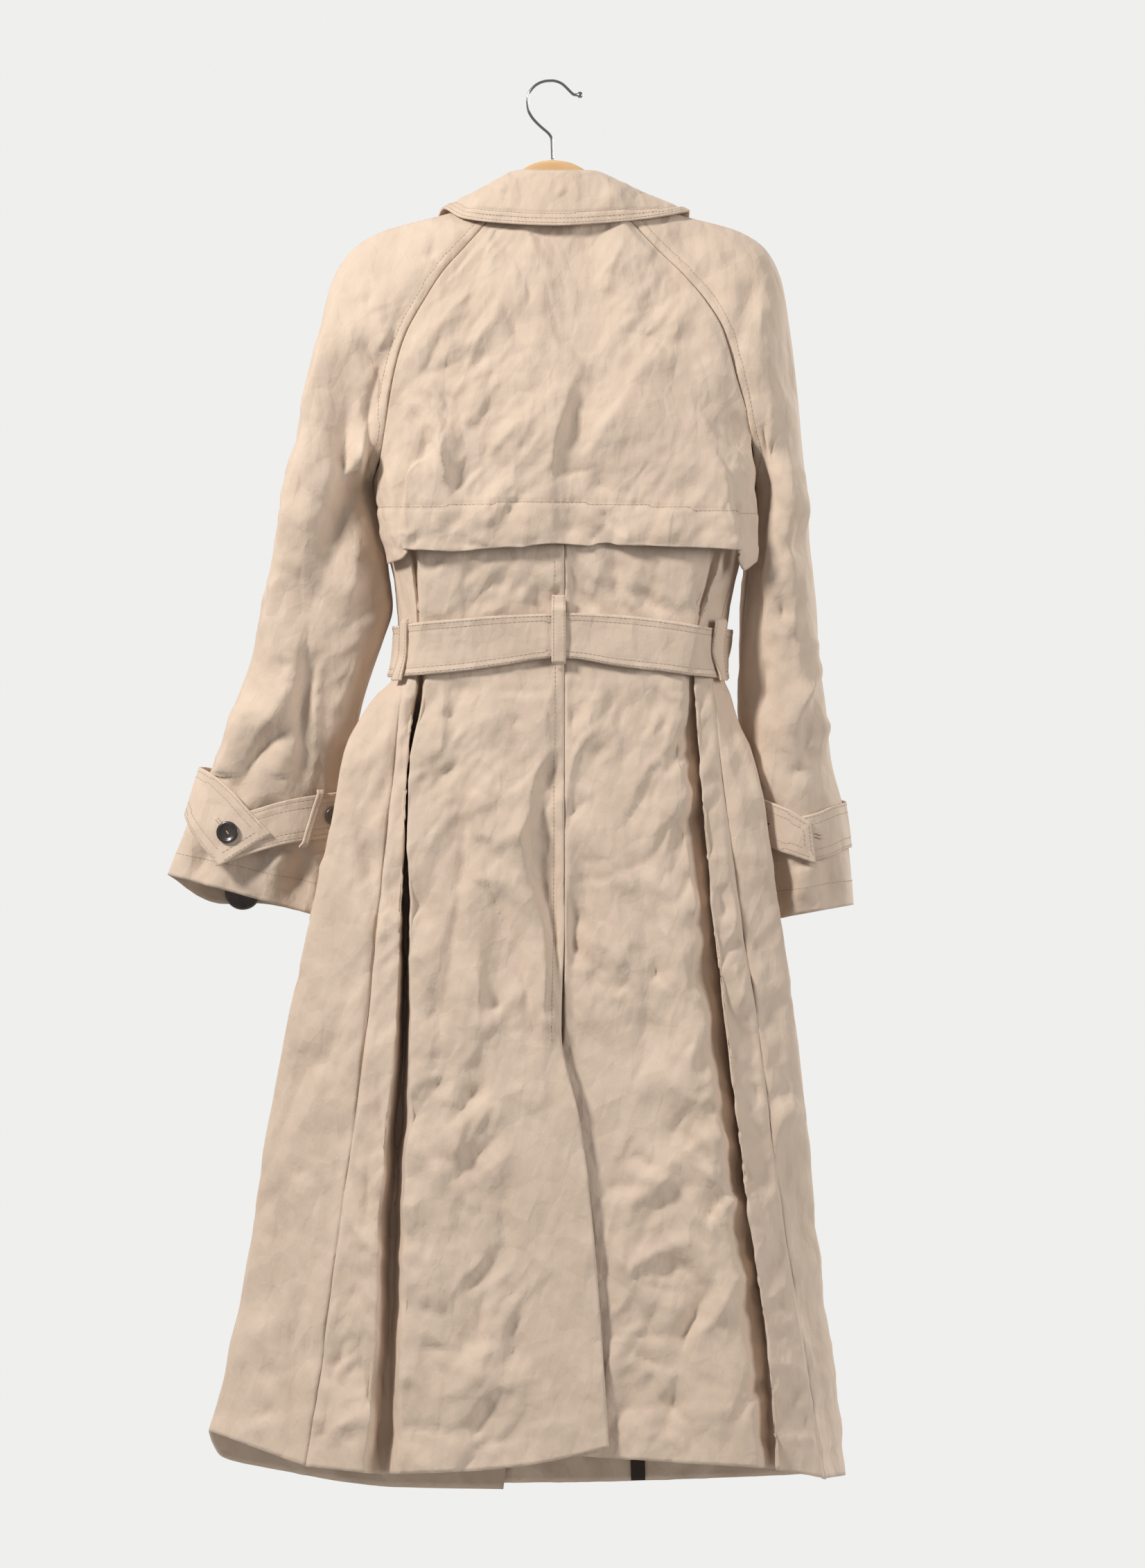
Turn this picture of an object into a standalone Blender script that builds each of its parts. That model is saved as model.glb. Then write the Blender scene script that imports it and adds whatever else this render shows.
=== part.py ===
"""A belted trench coat on a wooden hanger, in metres, +Z up. The hook hangs at the origin.

Every cloth piece is a wall worked out from rings and lines: the body from lines down the
back and the fronts, the sleeves from rings between their two seams. What lies on another
piece, such as the storm flap, the belt or a lapel, is made from its points, moved out.
"""

import math

import bpy
import numpy as np

# ---------------------------------------------------------------------------
# Tables. Every length is in millimetres. A point is (x, y, drop): x to the
# right as seen from behind, y forward from the hanger's plane (the coat's back
# is at negative y), and drop downwards from where the hook hangs.
# ---------------------------------------------------------------------------
REACH = 3200.0        # widths and drops grow by 1 part in this for each mm forward
MIDDLE_X, MIDDLE_D = 18.0, 628.0
CLOTH = 1.6           # thickness of the doubled coat cloth
GAP = 0.22            # half of the gap at a seam
CB_X = 11.0           # the centre back seam
STATIONS = 20         # rings along each sleeve; the first 11 are on the raglan seam
ARMPIT = 10

# raglan seam, neck to armpit: station, left x and drop, right x and drop, y on the back and on the front
RAGLAN = (
    # lx,  ldrop,   rx, rdrop, yback, yfront
    (-50, 117.0, 62.0, 117, -20, 17),
    (-76, 146.0, 92.0, 149, -27, 23),
    (-98, 170.5, 117.0, 173, -34, 29),
    (-114, 195.0, 136.0, 195, -40, 34),
    (-130, 224.0, 151.0, 219, -45, 38),
    (-138, 248.0, 158.0, 240, -47, 40),
    (-143, 272.5, 164.5, 266, -47, 40),
    (-146, 296.0, 171.0, 289, -44, 38),
    (-149, 325.0, 176.5, 315, -37, 32),
    (-157, 346.0, 180.0, 340, -22, 20),
    (-162, 362.0, 182.0, 368, 0, 0),
)
# underarm seam of each sleeve, armpit to cuff: x, drop, y of the ring's middle, half depth of the ring
UNDERARM = {
    "left": (
        (-156.0, 392, 2, 40), (-148.5, 431, 5, 42), (-143.0, 469, 8, 42), (-152.0, 501, 10, 41), (-170.0, 557, 12, 38),
        (-181.0, 610, 14, 32), (-190.0, 660, 16, 26), (-197.0, 705, 18, 22), (-203.0, 748, 20, 20),
    ),
    "right": (
        (179.0, 405, 3, 48), (175.5, 439, 6, 50), (172.0, 475, 8, 52), (169.0, 510, 10, 52), (166.0, 558, 11, 52),
        (170.0, 600, 12, 52), (178.0, 655, 13, 50), (186.0, 705, 14, 48), (192.0, 750, 15, 47),
    ),
}
# overarm seam, neck over the shoulder to the cuff: x and drop at each station
OVERARM = {
    "left": (
        (-56, 107), (-95, 118), (-153, 134), (-178, 149), (-197, 178), (-207, 217), (-213, 250), (-219, 284), (-227, 325), (-233, 355),
        (-238, 378), (-244, 410), (-253, 447), (-262, 481), (-268, 512), (-285, 560), (-303, 610), (-321, 650), (-333, 680), (-344, 709),
    ),
    "right": (
        (66, 107), (118, 120), (168, 134), (191, 150), (205, 178), (211, 212), (216, 250), (220, 290), (223, 325), (226, 352),
        (228.5, 378), (230, 410), (233, 440), (236.5, 475), (238, 510), (244, 558), (249, 605), (260, 650), (266, 695), (269, 736),
    ),
}
# how a sleeve ring leaves its inner seam: share of the way across, and towards the back or front
LEAVE = ((.40, 2), (.40, 4), (.40, 5), (.40, 6), (.38, 8), (.36, 10), (.32, 13), (.26, 18), (.18, 26), (.08, 38))
ARRIVE = (8, 12, 16, 20, 25, 30, 34, 38, 43, 47)

# across the body at each drop: x of the fold edge beside the pleat, the pleat's valley,
# the side piece's edge, the side seam, and the outermost line
ACROSS = {
    "left": (
        # drop, fold, valley, edge, seam, side
        (395, -121, -125, -134, -153, -155), (431, -119, -122.5, -126.5, -144, -146), (484, -117.5, -119, -121.5, -136, -138),
        (508, -116, -118, -122, -135, -139), (531, -113, -117, -122, -134.5, -141), (547, -115, -118.5, -123, -135, -157),
        (564, -119, -121, -125, -137, -169), (600, -126, -127.2, -129, -140, -184), (650, -129.5, -130.5, -132, -146, -194),
        (741, -128, -131, -135, -155.5, -215), (850, -125, -132, -140, -166.5, -240), (931, -127, -137, -148, -177, -254.5),
        (1041, -131, -143, -157, -193, -270), (1148, -133, -146, -160, -207, -292), (1240, -135, -151, -171, -221, -314),
    ),
    "right": (
        (395, 141, 147, 158, 174, 176), (431, 138, 143, 149, 165, 168), (484, 128, 130, 132, 151, 157),
        (508, 122, 127, 128, 146, 154), (531, 116, 130, 127, 143, 153), (547, 115, 131.5, 128, 144.5, 159),
        (564, 114, 133, 129.5, 146.5, 164), (600, 114, 136, 132, 150, 177), (650, 118, 140, 135.5, 156, 190),
        (741, 127, 148, 143.5, 168, 204), (850, 137, 159, 156, 185.5, 218), (931, 146, 168, 166, 195, 228),
        (1041, 158, 181, 180, 211, 238), (1148, 172, 193, 195, 228, 252), (1240, 184, 199, 201, 244, 263),
    ),
}
# y of the same lines, with the plain back between the centre and the fold
DEPTH = {
    "left": (
        # drop, plain, valley, edge, seam, side
        (395, -63, -55, -52, -4, 4), (431, -62, -46, -52, -9, 2), (484, -58, -50, -51, -20, -4), (508, -58, -50, -50, -24, -6),
        (535, -60, -36, -50, -43, -12), (600, -67, -12, -57, -50, -28), (741, -79, -16, -68, -58, -36),
        (931, -90, -34, -80, -65, -30), (1100, -96, -54, -88, -69, -20), (1240, -99, -68, -93, -72, -8),
    ),
    "right": (
        (395, -62, -56, -52, -7, 4), (431, -61, -47, -52, -12, 2), (484, -58, -50, -51, -24, 0), (508, -58, -48, -50, -28, -2),
        (535, -58, -34, -52, -45, -12), (600, -62, -20, -58, -51, -32), (741, -72, -26, -69, -58, -44),
        (931, -84, -42, -82, -66, -34), (1100, -92, -60, -90, -70, -24), (1240, -98, -74, -95, -74, -10),
    ),
}
# the front, round from the side: x and y where it turns, and x and y of its flank
ROUND = {
    "left": (
        # drop, turn x, turn y, flank x, flank y
        (395, -150, 16, -131, 41), (431, -142, 14, -126, 42), (484, -135, 12, -120, 41), (508, -136, 10, -119, 41), (535, -137, 9, -123, 43),
        (600, -160, 8, -138, 49), (741, -190, 14, -165, 62), (850, -224, 20, -186, 71), (931, -246, 30, -205, 80), (1240, -300, 50, -238, 96),
    ),
    "right": (
        (395, 171, 16, 148, 42), (431, 165, 14, 138, 44), (484, 157, 12, 130, 43), (508, 154, 11, 128, 43), (535, 148, 9, 126, 44),
        (600, 150, 6, 132, 50), (741, 172, 9, 152, 64), (850, 206, 22, 170, 73), (931, 219, 30, 182, 82), (1240, 251, 52, 208, 100),
    ),
}
# y at the centre back, and of the plain front
CENTRE_BACK = ((112, -21), (150, -31), (200, -44), (260, -55), (330, -62), (431, -62), (484, -58), (535, -59), (600, -64), (741, -75), (850, -81), (931, -87), (1041, -91), (1240, -98))
FRONT_Y = ((120, 18), (150, 25), (200, 36), (260, 44), (330, 50), (431, 54), (508, 52), (600, 60), (741, 72), (931, 88), (1100, 98), (1260, 105))
# x of each front's free edge, which is the fold of its lapel above the belt
FRONT_EDGE = {
    "left": ((120, -36), (128, -34), (200, -2), (260, 28), (330, 58), (508, 60), (600, 54), (800, 20), (1000, -12), (1260, -44)),
    "right": ((120, 58), (128, 56), (200, 22), (260, -12), (330, -62), (508, -75), (700, -82), (1000, -98), (1260, -112)),
}
# x of each back's centre edge: the left one crosses over the right one below the vent's top
VENT = {
    "left": ((112, 10.8), (800, 10.8), (830, 8.4), (876, 8), (922, 23.6), (960, 28), (1041, 38), (1120, 44), (1222, 51)),
    "right": ((112, 11.2), (842, 11.2), (866, 4), (900, -6), (950, -16), (1240, -22)),
}
VENT_LIFT = {"left": ((112, 0), (820, 0), (860, -2.5), (1240, -4)), "right": ((112, 0), (838, 0), (860, 3), (1240, 5))}
# drop of the hem at each line, centre to side seam, then round the front to its edge
HEM = {
    "left": dict(back=(1221, 1236, 1243, 1245.5, 1245, 1244, 1238.5), front=(1238.5, 1207, 1228, 1243, 1257, 1259)),
    "right": dict(back=(1226, 1231, 1236, 1239.5, 1240, 1241, 1249), front=(1249, 1246, 1243, 1246, 1252, 1254)),
}
SHARE = (0.30, 0.55, 0.72, 0.78, 0.85)   # how far from the centre to the raglan seam the five lines start
FRONT_SHARE = (0.10, 0.22, 0.42, 0.72)
LAYER = {"left": (-2.5, -5.0), "right": (1.5, 3.0)}   # the right front lies over the left one


def curve(rows, at):
    """Read a table (knot, value, value...) at `at`, as a smooth curve that never overshoots its rows."""
    rows = np.asarray(rows, float)
    knots, values = rows[:, 0], rows[:, 1:]
    at = np.clip(np.asarray(at, float), knots[0], knots[-1])
    step = np.diff(knots)[:, None]
    rise = np.diff(values, axis=0) / step
    slope = np.zeros_like(values)
    slope[0], slope[-1] = rise[0], rise[-1]
    if len(knots) > 2:
        a, b = rise[:-1], rise[1:]
        same = a * b > 0
        wa, wb = 2 * step[1:] + step[:-1], step[1:] + 2 * step[:-1]
        slope[1:-1] = np.where(same, (wa + wb) / (wa / np.where(same, a, 1) + wb / np.where(same, b, 1)), 0)
    k = np.clip(np.searchsorted(knots, at, side="right") - 1, 0, len(knots) - 2)
    h = step[k, 0][..., None]
    u = ((at - knots[k])[..., None]) / h
    return (
        (1 + 2 * u) * (1 - u) ** 2 * values[k] + u * (1 - u) ** 2 * h * slope[k]
        + u * u * (3 - 2 * u) * values[k + 1] + u * u * (u - 1) * h * slope[k + 1]
    )


def one(rows, at):
    return curve(rows, at)[..., 0]


def raglan(side, face):
    """The raglan seam's points at its stations."""
    x, drop = (0, 1) if side == "left" else (2, 3)
    table = np.array(RAGLAN, float)
    return np.stack([table[:, x], table[:, 4 if face == "back" else 5], table[:, drop]], axis=-1)


LOWER = (395, 431, 484, 508, 531, 547, 564, 600, 650, 741, 850, 931, 1041, 1148, None)   # None is the hem


def back_lines(side):
    """Rows down one half of the back, each with its seven lines from the centre to the side: (rows, 7, 3)."""
    rows = []
    seam = raglan(side, "back")
    for k, (sx, sy, sd) in enumerate(seam):
        down = (sd - seam[0, 2]) / (seam[-1, 2] - seam[0, 2])
        cd = 112 + 253 * down
        cx, cy = one(VENT[side], cd), one(CENTRE_BACK, cd)
        power = 2.6 + 5.5 * down ** 2
        row = [(cx, cy, cd)]
        for w in SHARE:
            row.append((cx + (sx - cx) * w, cy + (sy - cy) * w ** power, cd + (sd - cd) * w))
        rows.append(row + [(sx, sy, sd)])
    for drop in LOWER:
        drops = HEM[side]["back"] if drop is None else [drop] * 7
        line = lambda table, column, d: curve(table, d)[column - 1]
        plain = [line(DEPTH[side], 1, d) for d in drops]
        fold_x = line(ACROSS[side], 1, drops[3])
        cx = one(VENT[side], drops[0])
        cy = one(CENTRE_BACK, drops[0]) + one(VENT_LIFT[side], drops[0])
        if side == "right" and drops[0] > 850:
            cy = min(cy, one(CENTRE_BACK, drops[0]) + 6)
        row = [(cx, cy, drops[0])]
        row.append((cx + (fold_x - cx) * 0.34, 0.4 * one(CENTRE_BACK, drops[1]) + 0.6 * plain[1], drops[1]))
        row.append((cx + (fold_x - cx) * 0.70, plain[2] - 1.0, drops[2]))
        row.append((fold_x, plain[3] + 2.0, drops[3]))
        for column in (2, 3, 4):
            d = drops[column + 2]
            row.append((line(ACROSS[side], column, d), line(DEPTH[side], column, d), d))
        rows.append(row)
    return np.array(rows, float)


def front_lines(side):
    """Rows down one front, each with its six lines from the side seam to the free edge."""
    rows = []
    seam = raglan(side, "front")
    for k, (sx, sy, sd) in enumerate(seam):
        down = (sd - seam[0, 2]) / (seam[-1, 2] - seam[0, 2])
        ed = 126 + 239 * down
        ex, ey = one(FRONT_EDGE[side], ed), one(FRONT_Y, ed) + LAYER[side][1]
        power = 2.6 + 5.5 * down ** 2
        row = [(sx, sy, sd)]
        for w in FRONT_SHARE:
            lift = (LAYER[side][0] - LAYER[side][1]) * (1 if w > 0.7 else 0)
            row.append((sx + (ex - sx) * w, sy + (ey - sy) * (1 - (1 - w) ** power) + lift * down, sd + (ed - sd) * w))
        rows.append(row + [(ex, ey, ed)])
    for drop in LOWER:
        d = HEM[side]["front"] if drop is None else [drop] * 6
        sx, sy = curve(ACROSS[side], d[0])[3], curve(DEPTH[side], d[0])[3]
        ox, oy = curve(ACROSS[side], d[1])[4], curve(DEPTH[side], d[1])[4]
        tx, ty = curve(ROUND[side], d[2])[:2]
        qx, qy = curve(ROUND[side], d[3])[2:]
        ex = one(FRONT_EDGE[side], d[5])
        rows.append([
            (sx, sy, d[0]), (ox, oy, d[1]), (tx, ty, d[2]), (qx, qy, d[3]),
            ((qx + ex) / 2, one(FRONT_Y, d[4]) + LAYER[side][0], d[4]), (ex, one(FRONT_Y, d[5]) + LAYER[side][1], d[5]),
        ])
    return np.array(rows, float)


def sleeve_ring(side, face, across):
    """Rings along one half of a sleeve, from its inner seam to the overarm seam: (stations, across, 3)."""
    sign = -1 if face == "back" else 1
    inner = raglan(side, face)
    under = np.array(UNDERARM[side], float)
    u = np.asarray(across, float)[:, None]
    rings = []
    for k in range(STATIONS):
        ox, od = OVERARM[side][k]
        if k <= ARMPIT:
            start = inner[k]
            oy = 0.0
            depth = (38 if side == "left" else 46) * 4 / 3
        else:
            x, d, y, half = under[k - ARMPIT - 1]
            start = np.array([x, y, d])
            oy, depth = y, half * 4 / 3
        end = np.array([ox, oy, od])
        if k < ARMPIT:
            share, out = LEAVE[k]
            first = start + (end - start) * [share, 0, share] + [0, sign * out, 0]
            last = end + [0, sign * ARRIVE[k], 0]
        else:
            first, last = start + [0, sign * depth, 0], end + [0, sign * depth, 0]
            if side == "right" and face == "front":
                first = first + [-27 * math.exp(-(((k - 12.4) / 2.1) ** 2)), 0, 0]
            if side == "left" and face == "front":
                first = first + [9 * math.exp(-(((k - 10.7) / 1.0) ** 2)), 0, 0]
        ring = (1 - u) ** 3 * start + 3 * u * (1 - u) ** 2 * first + 3 * u * u * (1 - u) * last + u ** 3 * end
        if side == "left" and face == "front":
            # the front of this cuff hangs lower than its back
            ring = ring + np.exp(-(((u - 0.65) / 0.17) ** 2)) * np.minimum(1, 12 * u * (1 - u)) * [0, 0, {STATIONS - 2: 5.5, STATIONS - 1: 13.7}.get(k, 0.0)]
        rings.append(ring)
    return np.array(rings)


def normals(grid, towards):
    """Unit normals of a grid, turned so that they face `towards`, a function of the points or a vector."""
    down = np.gradient(grid, axis=0)
    over = np.gradient(grid, axis=1)
    n = np.cross(over, down)
    n /= np.maximum(np.linalg.norm(n, axis=-1, keepdims=True), 1e-9)
    ref = towards(grid) if callable(towards) else np.broadcast_to(np.asarray(towards, float), grid.shape)
    if (n * ref).sum(axis=-1).mean() < 0:
        n = -n
    return n


def pull_back(grid, gaps):
    """Draw the grid's edges in by (top, bottom, first column, last column)."""
    g = grid.copy()
    for gap, edge, inner in ((gaps[0], (0,), (1,)), (gaps[1], (-1,), (-2,))):
        if gap:
            d = g[inner[0]] - g[edge[0]]
            g[edge[0]] += d / np.maximum(np.linalg.norm(d, axis=-1, keepdims=True), 1e-9) * gap
    for gap, edge, inner in ((gaps[2], 0, 1), (gaps[3], -1, -2)):
        if gap:
            d = g[:, inner] - g[:, edge]
            g[:, edge] += d / np.maximum(np.linalg.norm(d, axis=-1, keepdims=True), 1e-9) * gap
    return g


def between(grid, at):
    """Points of each row at positions `at` along the grid's own columns, straight between them."""
    at = np.broadcast_to(np.asarray(at, float), (grid.shape[0], np.shape(at)[-1]))
    k = np.clip(np.floor(at).astype(int), 0, grid.shape[1] - 2)
    w = (at - k)[..., None]
    rows = np.arange(grid.shape[0])[:, None]
    return grid[rows, k] * (1 - w) + grid[rows, k + 1] * w


def rings_round(points):
    """Convex outline of points (x, y), anticlockwise."""
    pts = sorted(set(map(tuple, np.round(points, 3))))
    def half(seq):
        out = []
        for p in seq:
            while len(out) > 1 and (out[-1][0] - out[-2][0]) * (p[1] - out[-2][1]) - (out[-1][1] - out[-2][1]) * (p[0] - out[-2][0]) <= 0:
                out.pop()
            out.append(p)
        return out[:-1]
    return np.array(half(pts) + half(pts[::-1]))


WAIST_X = 8.0


def waist_point(panels, angle, drop, out):
    """The point at `angle` round the waist, `out` clear of the cloth at this drop. Angle 0 is the right side, -90 the back."""
    found = []
    for grid in panels:
        for j in range(grid.shape[1]):
            line = grid[ARMPIT:, j]
            for d in (drop - 4, drop, drop + 3):
                found.append((np.interp(d, line[:, 2], line[:, 0]), np.interp(d, line[:, 2], line[:, 1])))
    outline = rings_round(np.array(found))
    a, b = outline, np.roll(outline, -1, axis=0)
    edge = b - a
    n = np.stack([edge[:, 1], -edge[:, 0]], axis=-1)
    n /= np.linalg.norm(n, axis=-1, keepdims=True)
    way = np.array([math.cos(math.radians(angle)), math.sin(math.radians(angle))])
    reach = ((a - [WAIST_X, 0]) * n).sum(axis=-1) + out
    facing = n @ way
    r = min(reach[i] / facing[i] for i in range(len(n)) if facing[i] > 1e-6)
    return np.array([WAIST_X + way[0] * r, way[1] * r, drop])


# ---------------------------------------------------------------------------
# Building
# ---------------------------------------------------------------------------
COLOURS = {
    # name: colour, roughness, metallic
    "cloth": ((0.66, 0.53, 0.42), 0.85, 0.0),
    "wood": ((0.72, 0.50, 0.29), 0.45, 0.0),
    "chrome": ((0.80, 0.80, 0.80), 0.18, 1.0),
    "horn": ((0.10, 0.075, 0.06), 0.35, 0.0),
    "tape": ((0.12, 0.09, 0.07), 0.80, 0.0),
}


def material(name):
    m = bpy.data.materials.get(name)
    if m is None:
        m = bpy.data.materials.new(name)
        m.use_nodes = True
        shader = m.node_tree.nodes["Principled BSDF"]
        colour, rough, metal = COLOURS[name]
        shader.inputs["Base Color"].default_value = (*colour, 1.0)
        shader.inputs["Roughness"].default_value = rough
        shader.inputs["Metallic"].default_value = metal
        m.diffuse_color = (*colour, 1.0)
    return m


def to_world(points):
    """From (x, y, drop) to metres, +Z up, opened by depth."""
    p = np.asarray(points, float)
    k = 1 + p[:, 1] / REACH
    return np.stack([(MIDDLE_X + (p[:, 0] - MIDDLE_X) * k), p[:, 1], -(MIDDLE_D + (p[:, 2] - MIDDLE_D) * k)], axis=-1) / 1000


def add(name, points, faces, kind):
    points = to_world(points)
    volume = 0.0
    for f in faces:
        for i in range(1, len(f) - 1):
            volume += np.dot(points[f[0]], np.cross(points[f[i]], points[f[i + 1]]))
    if volume < 0:
        faces = [tuple(reversed(f)) for f in faces]
    mesh = bpy.data.meshes.new(name)
    mesh.from_pydata([tuple(p) for p in points], [], faces)
    mesh.materials.append(material(kind))
    mesh.update()
    obj = bpy.data.objects.new(name, mesh)
    bpy.context.scene.collection.objects.link(obj)
    return obj


def shell(name, grid, facing, out=0.0, thick=CLOTH, kind="cloth", n=None):
    """A closed wall: the grid moved `out` along its normals, and `thick` deep behind that."""
    n = normals(grid, facing) if n is None else n
    out = np.asarray(out, float)
    out = out[..., None] if out.ndim else out
    face, back = grid + n * out, grid + n * (out - thick)
    rows, cols = grid.shape[:2]
    points = np.concatenate([face.reshape(-1, 3), back.reshape(-1, 3)])
    at = lambda r, c, layer: layer * rows * cols + r * cols + c
    faces = []
    for r in range(rows - 1):
        for c in range(cols - 1):
            # both walls are cut along the same diagonal, so the wall keeps its thickness
            a, b, d, e = (r, c), (r, c + 1), (r + 1, c + 1), (r + 1, c)
            faces += [(at(*a, 0), at(*b, 0), at(*d, 0)), (at(*a, 0), at(*d, 0), at(*e, 0))]
            faces += [(at(*a, 1), at(*d, 1), at(*b, 1)), (at(*a, 1), at(*e, 1), at(*d, 1))]
    rim = [(0, c) for c in range(cols)] + [(r, cols - 1) for r in range(1, rows)]
    rim += [(rows - 1, c) for c in range(cols - 2, -1, -1)] + [(r, 0) for r in range(rows - 2, 0, -1)]
    for i, a in enumerate(rim):
        b = rim[(i + 1) % len(rim)]
        faces.append((at(*a, 0), at(*a, 1), at(*b, 1), at(*b, 0)))
    return add(name, points, faces, kind)


def disc(name, centre, way, radius, thick, kind, sides=16, dish=0.0):
    """A button: a disc facing `way`, with a raised rim if it has a dish."""
    way = np.asarray(way, float) / np.linalg.norm(way)
    side = np.cross(way, [0, 0, 1.0])
    side /= np.linalg.norm(side)
    up = np.cross(side, way)
    rings = [(0.0, 0.0), (0.80, 0.0), (1.0, 0.35), (1.0, 0.8), (0.88, 1.0), (0.68, 1.0 - dish), (0.0, 1.0 - dish)]
    points, faces, index = [], [], []
    for share, height in rings:
        if share == 0:
            index.append([len(points)])
            points.append(centre + way * height * thick)
            continue
        index.append(list(range(len(points), len(points) + sides)))
        for i in range(sides):
            a = 2 * math.pi * i / sides
            points.append(centre + (side * math.cos(a) + up * math.sin(a)) * radius * share + way * height * thick)
    for lower, upper in zip(index[:-1], index[1:]):
        for i in range(sides):
            j = (i + 1) % sides
            if len(lower) == 1:
                faces.append((lower[0], upper[j], upper[i]))
            elif len(upper) == 1:
                faces.append((lower[i], lower[j], upper[0]))
            else:
                faces.append((lower[i], lower[j], upper[j], upper[i]))
    return add(name, np.array(points), faces, kind)


def tube(name, path, radii, kind, sides=8):
    """A round bar along a path, closed at both ends."""
    path = np.asarray(path, float)
    points, faces = [], []
    up = np.array([0.0, 1.0, 0.0])
    for i, p in enumerate(path):
        t = path[min(i + 1, len(path) - 1)] - path[max(i - 1, 0)]
        t /= np.linalg.norm(t)
        a = np.cross(t, up)
        a /= np.linalg.norm(a)
        for s in range(sides):
            w = 2 * math.pi * s / sides
            points.append(p + (a * math.cos(w) + up * math.sin(w)) * radii[i])
    for i in range(len(path) - 1):
        for s in range(sides):
            q = (s + 1) % sides
            faces.append((i * sides + s, i * sides + q, (i + 1) * sides + q, (i + 1) * sides + s))
    faces.append(tuple(range(sides - 1, -1, -1)))
    faces.append(tuple((len(path) - 1) * sides + s for s in range(sides)))
    return add(name, np.array(points), faces, kind)


def bar(name, sections, kind):
    """A bar through eight-sided sections along x: x, top drop, height, half thickness."""
    points, faces = [], []
    for x, top, height, half in sections:
        c = min(half, height / 2) * 0.45
        for y, d in ((-half, c), (-half, height - c), (-half + c, height), (half - c, height), (half, height - c), (half, c), (half - c, 0), (-half + c, 0)):
            points.append((x, y, top + d))
    for i in range(len(sections) - 1):
        for s in range(8):
            q = (s + 1) % 8
            faces.append((i * 8 + s, i * 8 + q, (i + 1) * 8 + q, (i + 1) * 8 + s))
    faces.append(tuple(range(7, -1, -1)))
    faces.append(tuple((len(sections) - 1) * 8 + s for s in range(8)))
    return add(name, np.array(points), faces, kind)


for old in list(bpy.data.objects):
    bpy.data.objects.remove(old, do_unlink=True)

# --- the hanger -------------------------------------------------------------
HOOK_PATH = (
    # x, drop, radius
    (0.1, 69.2, 1.3), (-0.2, 60, 1.3), (-0.6, 51, 1.3), (-2.4, 47.2, 1.3), (-4.7, 44.7, 1.3), (-10.0, 40.2, 1.3), (-15.4, 34.9, 1.3), (-19.2, 30, 1.3),
    (-21.4, 25, 1.3), (-22.3, 17, 1.3), (-21.2, 10.5, 1.3), (-18.0, 5.6, 1.3), (-14.2, 2.2, 1.3), (-10.0, 0.1, 1.3), (-5.0, -1.1, 1.3), (0.0, -1.3, 1.3), (4.0, -0.6, 1.3),
    (8.0, 1.1, 1.3), (11.2, 3.6, 1.3), (14.0, 6.4, 1.3), (17.0, 9.4, 1.3), (19.4, 11.2, 1.3), (22.0, 11.4, 1.5), (23.2, 11.4, 2.6), (24.7, 11.4, 3.0), (26.2, 11.4, 2.6), (27.4, 11.4, 1.0),
)
tube("hanger_hook", [(x, 0.0, d) for x, d, _ in HOOK_PATH], [r for _, _, r in HOOK_PATH], "chrome")
ARMS = (
    # distance from the middle, top drop, height, half thickness
    (0, 69.6, 40, 6.6), (12, 71.2, 40, 6.6), (22, 75.2, 39, 6.6), (30, 81.0, 37, 6.5), (38, 92.5, 30, 6.3), (46, 106.5, 23, 6.2), (58, 114.0, 20, 6.0),
    (80, 120.0, 19, 6.0), (110, 127.8, 18, 6.0), (140, 137.5, 17, 6.2), (166, 150.0, 16, 6.6), (180, 160.0, 13, 6.0),
)
left_arm = [(-m, t, h, w) for m, t, h, w in ARMS[::-1]]
right_arm = [(m * 1.06, t, h, w) for m, t, h, w in ARMS[1:]]
bar("hanger_wood", left_arm + right_arm, "wood")

# --- body -------------------------------------------------------------------
BACK, FRONT = (0, -1, 0), (0, 1, 0)
backs = {side: back_lines(side) for side in ("left", "right")}
fronts = {side: front_lines(side) for side in ("left", "right")}
# halves of the wider stretches, so that the wall follows its curve
BACK_COLUMNS = (0, 0.5, 1, 1.5, 2, 2.5, 3, 4, 5, 5.5, 6)
FRONT_COLUMNS = (0, 1, 2, 3, 4, 5)
plan = {}
for side in ("left", "right"):
    for face, lines in (("back", backs), ("front", fronts)):
        whole = lines[side]
        smooth = np.stack([curve(np.concatenate([np.arange(whole.shape[1])[:, None], row], axis=1), BACK_COLUMNS if face == "back" else FRONT_COLUMNS) for row in whole])
        plan[side, face] = smooth
for side in ("left", "right"):
    nb = normals(plan[side, "back"], BACK)
    nf = normals(plan[side, "front"], FRONT)
    # below the armpit the side seam's two edges share their normals
    both = nb[ARMPIT:, -1] + nf[ARMPIT:, 0]
    both /= np.linalg.norm(both, axis=-1, keepdims=True)
    nb[ARMPIT:, -1] = both
    nf[ARMPIT:, 0] = both
    grid = pull_back(plan[side, "back"], (0, 0, 0, 0.5))
    shell("back_" + side, grid, BACK, n=nb)
    grid = pull_back(plan[side, "front"], (0, 0, 0.5, 0))
    shell("front_" + side, grid, FRONT, n=nf)

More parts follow.
